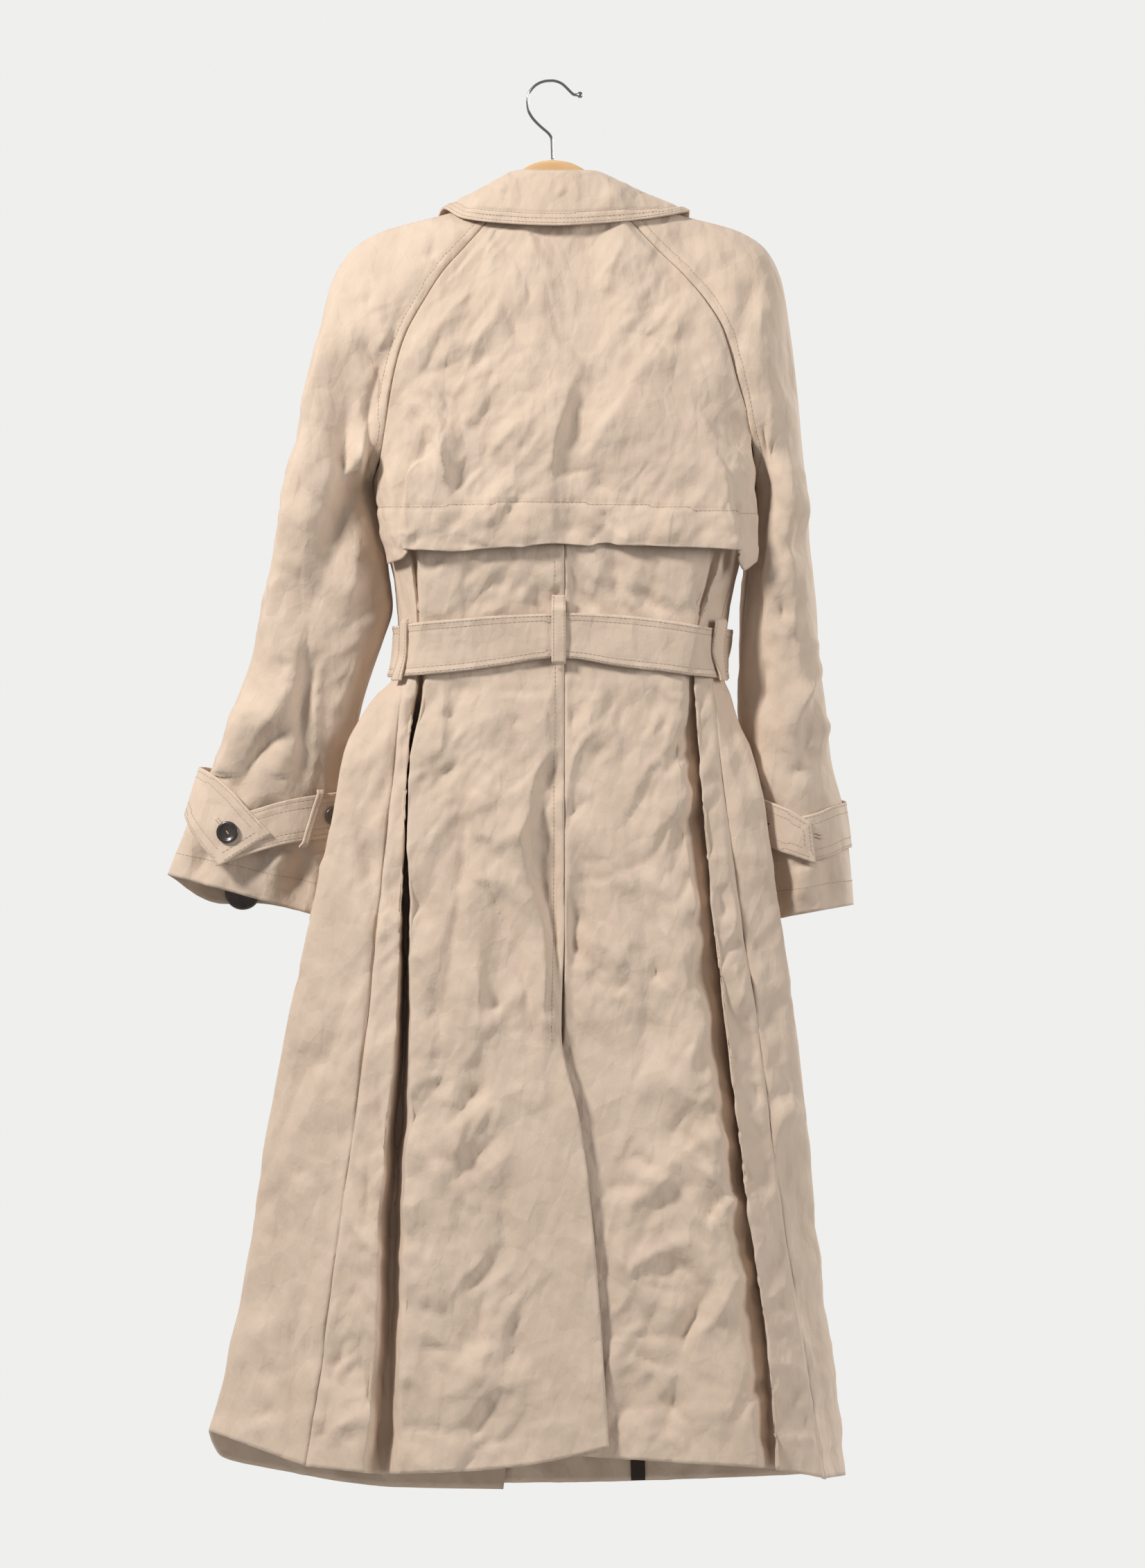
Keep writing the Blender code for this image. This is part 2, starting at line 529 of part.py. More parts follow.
# --- sleeves ----------------------------------------------------------------
RING = (0, 0.12, 0.3, 0.5, 0.7, 0.88, 1)
sleeves = {}
for side in ("left", "right"):
    for face, facing in (("back", BACK), ("front", FRONT)):
        ring = sleeve_ring(side, face, RING)
        sleeves[side, face] = ring
        n = normals(ring, facing)
        outward = np.array([-1.0 if side == "left" else 1.0, 0, 0])
        # at the overarm seam and the underarm seam the two halves face the same way
        n[:, -1] = outward * 0.8 + np.array([0, 0, -0.6]) * (np.arange(STATIONS)[:, None] < 5)
        n[:, -1] /= np.linalg.norm(n[:, -1], axis=-1, keepdims=True)
        n[ARMPIT:, 0] = -outward
        shell("sleeve_%s_%s" % (side, face), pull_back(ring, (0, 0, 0.45, 0.3)), facing, n=n)

# --- storm flap: over the shoulders and the back, loose at its hem ----------
FLAP = {
    # drop, then x and y of: fold edge, under the fold, side piece, its free edge
    "left": ((350, -130, -68, -129, -62, -139, -56, -154.5, -27), (388, -132, -70, -130, -62, -141, -54, -153, -19),
             (418, -131, -71, -128, -62, -136, -57, -146, -20)),
    "right": ((350, 152, -67, 157, -62, 168, -56, 179, -44), (388, 160, -67, 162, -60, 171, -54, 181.5, -45),
              (418, 165.5, -66, 163.5, -58, 172, -52, 182.3, -42)),
}
FLAP_HEM = {"left": (413.5, 415.5, 417.5, 418, 419, 427, 431), "right": (413.5, 413.5, 415, 419, 421, 437, 429)}


def flap_half(side):
    base = backs[side]
    n = normals(base, BACK)
    n = np.where(n[..., 1:2] > -0.3, [0, -1.0, 0], n)
    lift = 2.8 + 2.2 * (np.arange(9) / 8)[:, None, None] ** 2
    upper = base[:9] + n[:9] * lift
    upper[:, -1] += (1.4 if side == "left" else -1.4, 0, 0)
    rows = [r for r in upper]
    for drop in (352, 380, 400, None):
        drops = FLAP_HEM[side] if drop is None else [drop] * 7
        row = []
        for c in range(3):
            line = base[:, c]
            x, y = np.interp(drops[c], line[:, 2], line[:, 0]), np.interp(drops[c], line[:, 2], line[:, 1])
            if c == 0:
                x = CB_X
            row.append((x, y - 4.6 - 1.4 * max(0, (drops[c] - 330) / 88), drops[c]))
        for c in range(4):
            v = curve(FLAP[side], drops[c + 3])
            row.append((v[2 * c], v[2 * c + 1], drops[c + 3]))
        w = 0.62
        row[2] = (row[0][0] + (row[3][0] - row[0][0]) * w, row[2][1] - 1.5, row[2][2])
        rows.append(np.array(row))
    return np.array(rows)


halves = {side: flap_half(side) for side in ("left", "right")}
left, right = halves["left"][:, ::-1], halves["right"]
middle = (left[:, -1:] + right[:, :1]) / 2
flap = np.concatenate([left[:, :-1], middle, right[:, 1:]], axis=1)
flap = pull_back(flap, (1.5, 0, 0, 0))
shell("storm_flap", flap, BACK)

# --- collar: stand up from the neck, over a fold, and the fall outside --------
COLLAR = (
    # stand x y drop, fold x y drop, fall's edge x y drop
    (-41, 12, 120, -40, 18, 113, -88, 44, 172), (-50, 4, 107, -49, 8, 98, -104, 31, 135), (-52, -3, 104.5, -50, -2, 91, -98, -1, 112.0),
    (-42, -13, 106.5, -42, -12, 83.5, -80, -24, 121.5), (-25, -18, 108.5, -25, -19, 79.5, -45, -34, 126), (6, -19.5, 109, 5, -22, 80, 2, -39, 128),
    (36, -18, 108.5, 34, -19, 80, 45, -34, 126), (52, -13, 106, 50, -12, 84.5, 88, -24, 121.5), (61, -3, 104.5, 60, -2, 91, 123, -1, 114.5),
    (60, 4, 107, 59, 8, 98, 121, 31, 136), (51, 12, 120, 50, 18, 113, 98, 44, 172),
)
keys = np.array(COLLAR, float)
steps = np.linspace(0, len(keys) - 1, 21)
ring = curve(np.concatenate([np.arange(len(keys))[:, None], keys], axis=1), steps)
stand, fold, fall = ring[:, 0:3], ring[:, 3:6], ring[:, 6:9]
along = np.gradient(fold, axis=0)
outward = np.stack([-along[:, 1], along[:, 0], 0 * along[:, 0]], axis=-1)
outward /= np.linalg.norm(outward, axis=-1, keepdims=True)
if (outward * (fold - [6, 0, 0]))[:, :2].sum() < 0:
    outward = -outward
inner, outer = fold - outward * 3.0, fold + outward * 3.0 + [0, 0, 0.5]
mid = (outer + fall) / 2 + outward * 2.0
collar = np.stack([stand, inner * 0.8 + stand * 0.2, (inner + outer) / 2 - [0, 0, 1.6], outer, mid, fall], axis=1)
n = normals(collar, lambda g: np.stack([g[..., 0] - 6, g[..., 1], 0 * g[..., 0]], axis=-1) * np.array([-1, -1, -1, 1, 1, 1])[None, :, None])
shell("collar", collar, None, n=n)

# --- lapels: the fronts' edges turned back -----------------------------------
LAPEL_WIDTH = {   # in lines of the front, from station 2 down
    "left": (1.25, 1.7, 2.15, 1.85, 1.3, 0.7),
    "right": (1.25, 1.7, 2.15, 1.9, 1.5, 1.05, 0.6, 0.25),
}
for side in ("left", "right"):
    front = plan[side, "front"]
    n = normals(front, FRONT)
    rows = slice(2, 2 + len(LAPEL_WIDTH[side]))
    at = np.stack([np.linspace(5, 5 - w, 4) for w in LAPEL_WIDTH[side]])
    base, facing = between(front[rows], at), between(n[rows], at)
    lift = 2.4 + np.linspace(0, 1, 4)[None, :] * (1.5 if side == "right" else 0.6)
    shell("lapel_" + side, base, FRONT, out=lift + np.zeros(at.shape), n=facing)

# --- belt, its keeper and its loops -------------------------------------------
panels = [plan[k] for k in plan]
BELT_BACK = ((-142, 487, 532), (-125, 484, 531), (-81, 480, 527), (-42, 477, 521.5), (0, 475.5, 515.5), (12, 475, 515.5), (61, 477, 523), (105, 482, 528), (142, 488.5, 532.6), (160, 490, 534))
BELT_FRONT = ((-142, 487, 532), (-60, 491, 538), (0, 492, 539), (60, 492, 539), (160, 490, 534))


def belt_row(angle, across, out):
    """One point of the belt at `angle`, from its top edge (0) to its bottom edge (1)."""
    p = waist_point(panels, angle, 508, out)
    top, bottom = curve(BELT_BACK if p[1] < 0 else BELT_FRONT, p[0])
    blend = min(1.0, abs(p[1]) / 25)
    if blend < 1:
        other = curve(BELT_FRONT if p[1] < 0 else BELT_BACK, p[0])
        top, bottom = np.array([top, bottom]) * (0.5 + blend / 2) + other * (0.5 - blend / 2)
    drop = top + (bottom - top) * across
    lowest = waist_point(panels, angle, min(max(drop, 480), 534), out)
    return np.array([lowest[0], lowest[1], drop])


TURN = 2.4
BELT_OUT = 4.6
angles = np.linspace(70, -322, 66)      # from under the front lap, round by the right side and the back, to the free end
belt = []
for a in angles:
    over = TURN * min(1.0, max(0.0, (-250 - a) / 20))
    belt.append([belt_row(a, v, BELT_OUT + over) for v in (0, 0.5, 1)])
belt = np.array(belt)
radial = lambda g: np.stack([g[..., 0] - WAIST_X, g[..., 1], 0 * g[..., 0]], axis=-1)
belt[-1, 1] += (belt[-1, 1] - belt[-2, 1]) * 1.1    # pointed end
shell("belt", belt, radial)


def loop(name, first, last, rows):
    """A loop over the belt: rows of (drop, out) at angles first to last."""
    grid = np.array([[waist_point(panels, a, d, o) for a in (first, (first + last) / 2, last)] for d, o in rows])
    shell(name, grid, radial)


BACK_LOOP = ((459, 2.8), (466, 4.0), (472, 7.1), (480, 7.1), (513, 7.1), (518, 7.1), (521, 4.2))
SIDE_LOOP = ((480, 5.4), (484.5, 7.2), (508, 7.1), (530, 7.1), (535, 7.1))
loop("belt_loop_centre", -97.4, -86.6, BACK_LOOP)
loop("belt_loop_left", -166.0, -160.5, SIDE_LOOP)
loop("belt_loop_right", -18.0, -11.5, [(d, o + 0.6) for d, o in SIDE_LOOP])
KEEPER = ((487, 9.5), (500, 9.5), (530, 9.5), (544, 9.9))
loop("belt_keeper", 52, 45, KEEPER)


# --- cuff straps: a band round the sleeve, its end lapped over and buttoned -----
def strap(name, centre, half_x, half_y, y0, slope, path, width, kind="cloth", upright=False):
    """A band on a flattened tube, its tip cut square or upright. path rows: turn (degrees, -90 is the back), drop, out."""
    path = np.array(path, float)
    steps = np.linspace(0, len(path) - 1, (len(path) - 1) * 3 + 1)
    turn, drop, out = curve(np.concatenate([np.arange(len(path))[:, None], path], axis=1), steps).T

    def place(a, d, o):
        r = math.radians(a)
        cx = centre + slope * (d - 660)
        return np.array([cx + (half_x + o) * math.cos(r), y0 + (half_y + o) * math.sin(r), d])

    mid = np.array([place(a, d, o) for a, d, o in zip(turn, drop, out)])
    length = np.gradient(mid, axis=0)
    grid = []
    for i, (a, d, o) in enumerate(zip(turn, drop, out)):
        speed = np.linalg.norm(length[i, :2])
        da = np.gradient(turn)[i]
        way = np.array([speed * np.sign(da), length[i, 2]])
        way /= np.linalg.norm(way)
        row = []
        for v in (-1, 0, 1):
            dd = v * width / 2 * way[0] * np.sign(way[0])
            ds = -v * width / 2 * way[1] * np.sign(way[0])
            if upright:
                ds *= min(1.0, (len(turn) - 1 - i) / 3)
            turn_per_mm = abs(da) / max(speed, 1e-6)
            row.append(place(a + ds * turn_per_mm, d + dd, o))
        grid.append(row)
    grid = np.array(grid)
    n = normals(grid, lambda g: np.stack([g[..., 0] - centre - slope * (g[..., 2] - 660), (g[..., 1] - y0) * 4, 0 * g[..., 0]], axis=-1))
    shell(name, grid, None, n=n, kind=kind)
    return grid, n


STRAP_LEFT = (
    # turn, drop, out: the under end, round by the body side and the front, over the outer edge to the tip
    (-122, 682, 4), (-100, 672, 4), (-70, 661, 4), (-35, 656, 4), (0, 654, 4), (45, 650, 4), (90, 645, 4), (135, 638, 4.5), (165, 633, 6), (190, 634, 7), (215, 645, 7), (238, 664, 7), (262, 687, 7),
)
STRAP_RIGHT = (
    # from the under end on the back, round by the outer edge and the front, over the body side to the tip
    (-112, 682, 4), (-90, 679, 4), (-62, 673, 4), (-30, 666, 4), (0, 664, 4), (45, 661, 4), (90, 658, 4), (135, 654, 4.5), (165, 653, 6), (195, 655, 7), (225, 661, 7), (254, 670, 7), (283, 681, 7),
)
grid_l, n_l = strap("cuff_strap_left", -256.5, 67.5, 30, 16, -0.31, STRAP_LEFT, 41)
grid_r, n_r = strap("cuff_strap_right", 220.5, 40.5, 50, 13, 0.13, STRAP_RIGHT, 40, upright=True)

# the cuff strap's own loop, down over the strap beside the under button
CUFF_LOOP = ((633, 4.4), (636.5, 7), (648, 7), (659, 7), (670, 7), (681, 7), (685, 4.4))    # drop, out
grid_loop = np.array([[[-256.5 - 0.31 * (d - 660) + (67.5 + o) * math.cos(math.radians(a)), 16 + (30 + o) * math.sin(math.radians(a)), d]
                       for a in (-58.3, -55.3, -52.3)] for d, o in CUFF_LOOP])
shell("cuff_loop_left", grid_loop, None, n=normals(grid_loop, (0, -1, 0)))


def on_band(grid, n, along, across, out):
    """A place on a band: its point and its outward normal."""
    i, j = int(along), int(across)
    return grid[i, j] + n[i, j] * out, n[i, j]


at, way = on_band(grid_l, n_l, len(grid_l) - 3, 1, 0.3)
disc("cuff_button_left", at, way, 10, 3.2, "horn", dish=0.35)
at, way = on_band(grid_l, n_l, 9, 1, 0.3)
disc("cuff_button_left_under", at, way, 8.5, 3.0, "horn", dish=0.35)

# --- front buttons, on the right front -----------------------------------------
front = plan["right", "front"]
nf = normals(front, FRONT)


def on_front(x, drop):
    y = [np.interp(x, row[::-1, 0], row[::-1, 1]) for row in front]
    d = [np.interp(x, row[::-1, 0], row[::-1, 2]) for row in front]
    return np.array([x, np.interp(drop, d, y), drop])


for row, drop in enumerate((366, 436, 612)):
    for column, x in (("left", -46), ("right", 66)):
        disc("front_button_%s_%d" % (column, row + 1), on_front(x, drop) + [0, 1.8, 0], (0, 1, -0.06 if drop < 600 else -0.1), 14, 4.0, "horn", dish=0.3)

# --- the dark dished button in the left cuff, and the tape inside the right front
disc("cuff_inner_button_left", np.array([-277.0, 33.0, 724.5]), (0.0, -1.0, 0.25), 16.0, 4.0, "horn", sides=20, dish=0.5)
tape = between(plan["right", "front"][18:], np.array([3.78, 3.86]))
tape_n = between(nf[18:], np.array([3.78, 3.86]))
shell("seam_tape_right", tape, FRONT, out=-CLOTH - 1.0, thick=1.0, kind="tape", n=tape_n)
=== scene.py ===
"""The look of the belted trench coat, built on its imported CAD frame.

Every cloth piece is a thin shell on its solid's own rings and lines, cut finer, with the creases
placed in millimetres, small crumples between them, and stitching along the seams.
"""

import math

import bpy
import numpy as np
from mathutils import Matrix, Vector


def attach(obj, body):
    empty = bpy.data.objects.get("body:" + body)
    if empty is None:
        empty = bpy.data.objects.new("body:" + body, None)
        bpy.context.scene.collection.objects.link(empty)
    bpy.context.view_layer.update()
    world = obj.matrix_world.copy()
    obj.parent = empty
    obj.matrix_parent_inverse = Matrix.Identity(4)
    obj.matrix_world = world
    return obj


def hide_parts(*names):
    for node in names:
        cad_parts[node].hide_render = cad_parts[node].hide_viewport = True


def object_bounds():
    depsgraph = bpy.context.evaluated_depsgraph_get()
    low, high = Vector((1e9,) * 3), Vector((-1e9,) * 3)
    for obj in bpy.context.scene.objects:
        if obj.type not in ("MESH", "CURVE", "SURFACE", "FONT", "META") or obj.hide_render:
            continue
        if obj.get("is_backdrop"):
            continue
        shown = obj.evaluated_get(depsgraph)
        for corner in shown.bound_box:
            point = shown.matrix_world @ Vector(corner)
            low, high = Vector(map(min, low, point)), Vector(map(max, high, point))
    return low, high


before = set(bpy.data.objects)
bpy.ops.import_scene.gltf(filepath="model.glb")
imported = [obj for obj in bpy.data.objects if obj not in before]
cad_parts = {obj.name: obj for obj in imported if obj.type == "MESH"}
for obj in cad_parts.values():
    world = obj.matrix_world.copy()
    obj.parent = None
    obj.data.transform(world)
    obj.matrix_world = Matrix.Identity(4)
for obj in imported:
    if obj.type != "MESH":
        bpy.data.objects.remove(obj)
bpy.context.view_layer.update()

FINE = 3.4       # mm between the points of the cloth's grid


# ---------------------------------------------------------------------------
# Tables. Every length is in millimetres. A point is (x, y, drop): x to the
# right as seen from behind, y forward from the hanger's plane (the coat's back
# is at negative y), and drop downwards from where the hook hangs.
# ---------------------------------------------------------------------------
REACH = 3200.0        # widths and drops grow by 1 part in this for each mm forward
MIDDLE_X, MIDDLE_D = 18.0, 628.0
CLOTH = 1.6           # thickness of the doubled coat cloth
GAP = 0.22            # half of the gap at a seam
CB_X = 11.0           # the centre back seam
STATIONS = 20         # rings along each sleeve; the first 11 are on the raglan seam
ARMPIT = 10

# raglan seam, neck to armpit: station, left x and drop, right x and drop, y on the back and on the front
RAGLAN = (
    # lx,  ldrop,   rx, rdrop, yback, yfront
    (-50, 117.0, 62.0, 117, -20, 17),
    (-76, 146.0, 92.0, 149, -27, 23),
    (-98, 170.5, 117.0, 173, -34, 29),
    (-114, 195.0, 136.0, 195, -40, 34),
    (-130, 224.0, 151.0, 219, -45, 38),
    (-138, 248.0, 158.0, 240, -47, 40),
    (-143, 272.5, 164.5, 266, -47, 40),
    (-146, 296.0, 171.0, 289, -44, 38),
    (-149, 325.0, 176.5, 315, -37, 32),
    (-157, 346.0, 180.0, 340, -22, 20),
    (-162, 362.0, 182.0, 368, 0, 0),
)
# underarm seam of each sleeve, armpit to cuff: x, drop, y of the ring's middle, half depth of the ring
UNDERARM = {
    "left": (
        (-156.0, 392, 2, 40), (-148.5, 431, 5, 42), (-143.0, 469, 8, 42), (-152.0, 501, 10, 41), (-170.0, 557, 12, 38),
        (-181.0, 610, 14, 32), (-190.0, 660, 16, 26), (-197.0, 705, 18, 22), (-203.0, 748, 20, 20),
    ),
    "right": (
        (179.0, 405, 3, 48), (175.5, 439, 6, 50), (172.0, 475, 8, 52), (169.0, 510, 10, 52), (166.0, 558, 11, 52),
        (170.0, 600, 12, 52), (178.0, 655, 13, 50), (186.0, 705, 14, 48), (192.0, 750, 15, 47),
    ),
}
# overarm seam, neck over the shoulder to the cuff: x and drop at each station
OVERARM = {
    "left": (
        (-56, 107), (-95, 118), (-153, 134), (-178, 149), (-197, 178), (-207, 217), (-213, 250), (-219, 284), (-227, 325), (-233, 355),
        (-238, 378), (-244, 410), (-253, 447), (-262, 481), (-268, 512), (-285, 560), (-303, 610), (-321, 650), (-333, 680), (-344, 709),
    ),
    "right": (
        (66, 107), (118, 120), (168, 134), (191, 150), (205, 178), (211, 212), (216, 250), (220, 290), (223, 325), (226, 352),
        (228.5, 378), (230, 410), (233, 440), (236.5, 475), (238, 510), (244, 558), (249, 605), (260, 650), (266, 695), (269, 736),
    ),
}
# how a sleeve ring leaves its inner seam: share of the way across, and towards the back or front
LEAVE = ((.40, 2), (.40, 4), (.40, 5), (.40, 6), (.38, 8), (.36, 10), (.32, 13), (.26, 18), (.18, 26), (.08, 38))
ARRIVE = (8, 12, 16, 20, 25, 30, 34, 38, 43, 47)

# across the body at each drop: x of the fold edge beside the pleat, the pleat's valley,
# the side piece's edge, the side seam, and the outermost line
ACROSS = {
    "left": (
        # drop, fold, valley, edge, seam, side
        (395, -121, -125, -134, -153, -155), (431, -119, -122.5, -126.5, -144, -146), (484, -117.5, -119, -121.5, -136, -138),
        (508, -116, -118, -122, -135, -139), (531, -113, -117, -122, -134.5, -141), (547, -115, -118.5, -123, -135, -157),
        (564, -119, -121, -125, -137, -169), (600, -126, -127.2, -129, -140, -184), (650, -129.5, -130.5, -132, -146, -194),
        (741, -128, -131, -135, -155.5, -215), (850, -125, -132, -140, -166.5, -240), (931, -127, -137, -148, -177, -254.5),
        (1041, -131, -143, -157, -193, -270), (1148, -133, -146, -160, -207, -292), (1240, -135, -151, -171, -221, -314),
    ),
    "right": (
        (395, 141, 147, 158, 174, 176), (431, 138, 143, 149, 165, 168), (484, 128, 130, 132, 151, 157),
        (508, 122, 127, 128, 146, 154), (531, 116, 130, 127, 143, 153), (547, 115, 131.5, 128, 144.5, 159),
        (564, 114, 133, 129.5, 146.5, 164), (600, 114, 136, 132, 150, 177), (650, 118, 140, 135.5, 156, 190),
        (741, 127, 148, 143.5, 168, 204), (850, 137, 159, 156, 185.5, 218), (931, 146, 168, 166, 195, 228),
        (1041, 158, 181, 180, 211, 238), (1148, 172, 193, 195, 228, 252), (1240, 184, 199, 201, 244, 263),
    ),
}
# y of the same lines, with the plain back between the centre and the fold
DEPTH = {
    "left": (
        # drop, plain, valley, edge, seam, side
        (395, -63, -55, -52, -4, 4), (431, -62, -46, -52, -9, 2), (484, -58, -50, -51, -20, -4), (508, -58, -50, -50, -24, -6),
        (535, -60, -36, -50, -43, -12), (600, -67, -12, -57, -50, -28), (741, -79, -16, -68, -58, -36),
        (931, -90, -34, -80, -65, -30), (1100, -96, -54, -88, -69, -20), (1240, -99, -68, -93, -72, -8),
    ),
    "right": (
        (395, -62, -56, -52, -7, 4), (431, -61, -47, -52, -12, 2), (484, -58, -50, -51, -24, 0), (508, -58, -48, -50, -28, -2),
        (535, -58, -34, -52, -45, -12), (600, -62, -20, -58, -51, -32), (741, -72, -26, -69, -58, -44),
        (931, -84, -42, -82, -66, -34), (1100, -92, -60, -90, -70, -24), (1240, -98, -74, -95, -74, -10),
    ),
}
# the front, round from the side: x and y where it turns, and x and y of its flank
ROUND = {
    "left": (
        # drop, turn x, turn y, flank x, flank y
        (395, -150, 16, -131, 41), (431, -142, 14, -126, 42), (484, -135, 12, -120, 41), (508, -136, 10, -119, 41), (535, -137, 9, -123, 43),
        (600, -160, 8, -138, 49), (741, -190, 14, -165, 62), (850, -224, 20, -186, 71), (931, -246, 30, -205, 80), (1240, -300, 50, -238, 96),
    ),
    "right": (
        (395, 171, 16, 148, 42), (431, 165, 14, 138, 44), (484, 157, 12, 130, 43), (508, 154, 11, 128, 43), (535, 148, 9, 126, 44),
        (600, 150, 6, 132, 50), (741, 172, 9, 152, 64), (850, 206, 22, 170, 73), (931, 219, 30, 182, 82), (1240, 251, 52, 208, 100),
    ),
}
# y at the centre back, and of the plain front
CENTRE_BACK = ((112, -21), (150, -31), (200, -44), (260, -55), (330, -62), (431, -62), (484, -58), (535, -59), (600, -64), (741, -75), (850, -81), (931, -87), (1041, -91), (1240, -98))
FRONT_Y = ((120, 18), (150, 25), (200, 36), (260, 44), (330, 50), (431, 54), (508, 52), (600, 60), (741, 72), (931, 88), (1100, 98), (1260, 105))
# x of each front's free edge, which is the fold of its lapel above the belt
FRONT_EDGE = {
    "left": ((120, -36), (128, -34), (200, -2), (260, 28), (330, 58), (508, 60), (600, 54), (800, 20), (1000, -12), (1260, -44)),
    "right": ((120, 58), (128, 56), (200, 22), (260, -12), (330, -62), (508, -75), (700, -82), (1000, -98), (1260, -112)),
}
# x of each back's centre edge: the left one crosses over the right one below the vent's top
VENT = {
    "left": ((112, 10.8), (800, 10.8), (830, 8.4), (876, 8), (922, 23.6), (960, 28), (1041, 38), (1120, 44), (1222, 51)),
    "right": ((112, 11.2), (842, 11.2), (866, 4), (900, -6), (950, -16), (1240, -22)),
}
VENT_LIFT = {"left": ((112, 0), (820, 0), (860, -2.5), (1240, -4)), "right": ((112, 0), (838, 0), (860, 3), (1240, 5))}
# drop of the hem at each line, centre to side seam, then round the front to its edge
HEM = {
    "left": dict(back=(1221, 1236, 1243, 1245.5, 1245, 1244, 1238.5), front=(1238.5, 1207, 1228, 1243, 1257, 1259)),
    "right": dict(back=(1226, 1231, 1236, 1239.5, 1240, 1241, 1249), front=(1249, 1246, 1243, 1246, 1252, 1254)),
}
SHARE = (0.30, 0.55, 0.72, 0.78, 0.85)   # how far from the centre to the raglan seam the five lines start
FRONT_SHARE = (0.10, 0.22, 0.42, 0.72)
LAYER = {"left": (-2.5, -5.0), "right": (1.5, 3.0)}   # the right front lies over the left one


def curve(rows, at):
    """Read a table (knot, value, value...) at `at`, as a smooth curve that never overshoots its rows."""
    rows = np.asarray(rows, float)
    knots, values = rows[:, 0], rows[:, 1:]
    at = np.clip(np.asarray(at, float), knots[0], knots[-1])
    step = np.diff(knots)[:, None]
    rise = np.diff(values, axis=0) / step
    slope = np.zeros_like(values)
    slope[0], slope[-1] = rise[0], rise[-1]
    if len(knots) > 2:
        a, b = rise[:-1], rise[1:]
        same = a * b > 0
        wa, wb = 2 * step[1:] + step[:-1], step[1:] + 2 * step[:-1]
        slope[1:-1] = np.where(same, (wa + wb) / (wa / np.where(same, a, 1) + wb / np.where(same, b, 1)), 0)
    k = np.clip(np.searchsorted(knots, at, side="right") - 1, 0, len(knots) - 2)
    h = step[k, 0][..., None]
    u = ((at - knots[k])[..., None]) / h
    return (
        (1 + 2 * u) * (1 - u) ** 2 * values[k] + u * (1 - u) ** 2 * h * slope[k]
        + u * u * (3 - 2 * u) * values[k + 1] + u * u * (u - 1) * h * slope[k + 1]
    )


def one(rows, at):
    return curve(rows, at)[..., 0]


def raglan(side, face):
    """The raglan seam's points at its stations."""
    x, drop = (0, 1) if side == "left" else (2, 3)
    table = np.array(RAGLAN, float)
    return np.stack([table[:, x], table[:, 4 if face == "back" else 5], table[:, drop]], axis=-1)


LOWER = (395, 431, 484, 508, 531, 547, 564, 600, 650, 741, 850, 931, 1041, 1148, None)   # None is the hem


def back_lines(side):
    """Rows down one half of the back, each with its seven lines from the centre to the side: (rows, 7, 3)."""
    rows = []
    seam = raglan(side, "back")
    for k, (sx, sy, sd) in enumerate(seam):
        down = (sd - seam[0, 2]) / (seam[-1, 2] - seam[0, 2])
        cd = 112 + 253 * down
        cx, cy = one(VENT[side], cd), one(CENTRE_BACK, cd)
        power = 2.6 + 5.5 * down ** 2
        row = [(cx, cy, cd)]
        for w in SHARE:
            row.append((cx + (sx - cx) * w, cy + (sy - cy) * w ** power, cd + (sd - cd) * w))
        rows.append(row + [(sx, sy, sd)])
    for drop in LOWER:
        drops = HEM[side]["back"] if drop is None else [drop] * 7
        line = lambda table, column, d: curve(table, d)[column - 1]
        plain = [line(DEPTH[side], 1, d) for d in drops]
        fold_x = line(ACROSS[side], 1, drops[3])
        cx = one(VENT[side], drops[0])
        cy = one(CENTRE_BACK, drops[0]) + one(VENT_LIFT[side], drops[0])
        if side == "right" and drops[0] > 850:
            cy = min(cy, one(CENTRE_BACK, drops[0]) + 6)
        row = [(cx, cy, drops[0])]
        row.append((cx + (fold_x - cx) * 0.34, 0.4 * one(CENTRE_BACK, drops[1]) + 0.6 * plain[1], drops[1]))
        row.append((cx + (fold_x - cx) * 0.70, plain[2] - 1.0, drops[2]))
        row.append((fold_x, plain[3] + 2.0, drops[3]))
        for column in (2, 3, 4):
            d = drops[column + 2]
            row.append((line(ACROSS[side], column, d), line(DEPTH[side], column, d), d))
        rows.append(row)
    return np.array(rows, float)


def front_lines(side):
    """Rows down one front, each with its six lines from the side seam to the free edge."""
    rows = []
    seam = raglan(side, "front")
    for k, (sx, sy, sd) in enumerate(seam):
        down = (sd - seam[0, 2]) / (seam[-1, 2] - seam[0, 2])
        ed = 126 + 239 * down
        ex, ey = one(FRONT_EDGE[side], ed), one(FRONT_Y, ed) + LAYER[side][1]
        power = 2.6 + 5.5 * down ** 2
        row = [(sx, sy, sd)]
        for w in FRONT_SHARE:
            lift = (LAYER[side][0] - LAYER[side][1]) * (1 if w > 0.7 else 0)
            row.append((sx + (ex - sx) * w, sy + (ey - sy) * (1 - (1 - w) ** power) + lift * down, sd + (ed - sd) * w))
        rows.append(row + [(ex, ey, ed)])
    for drop in LOWER:
        d = HEM[side]["front"] if drop is None else [drop] * 6
        sx, sy = curve(ACROSS[side], d[0])[3], curve(DEPTH[side], d[0])[3]
        ox, oy = curve(ACROSS[side], d[1])[4], curve(DEPTH[side], d[1])[4]
        tx, ty = curve(ROUND[side], d[2])[:2]
        qx, qy = curve(ROUND[side], d[3])[2:]
        ex = one(FRONT_EDGE[side], d[5])
        rows.append([
            (sx, sy, d[0]), (ox, oy, d[1]), (tx, ty, d[2]), (qx, qy, d[3]),
            ((qx + ex) / 2, one(FRONT_Y, d[4]) + LAYER[side][0], d[4]), (ex, one(FRONT_Y, d[5]) + LAYER[side][1], d[5]),
        ])
    return np.array(rows, float)


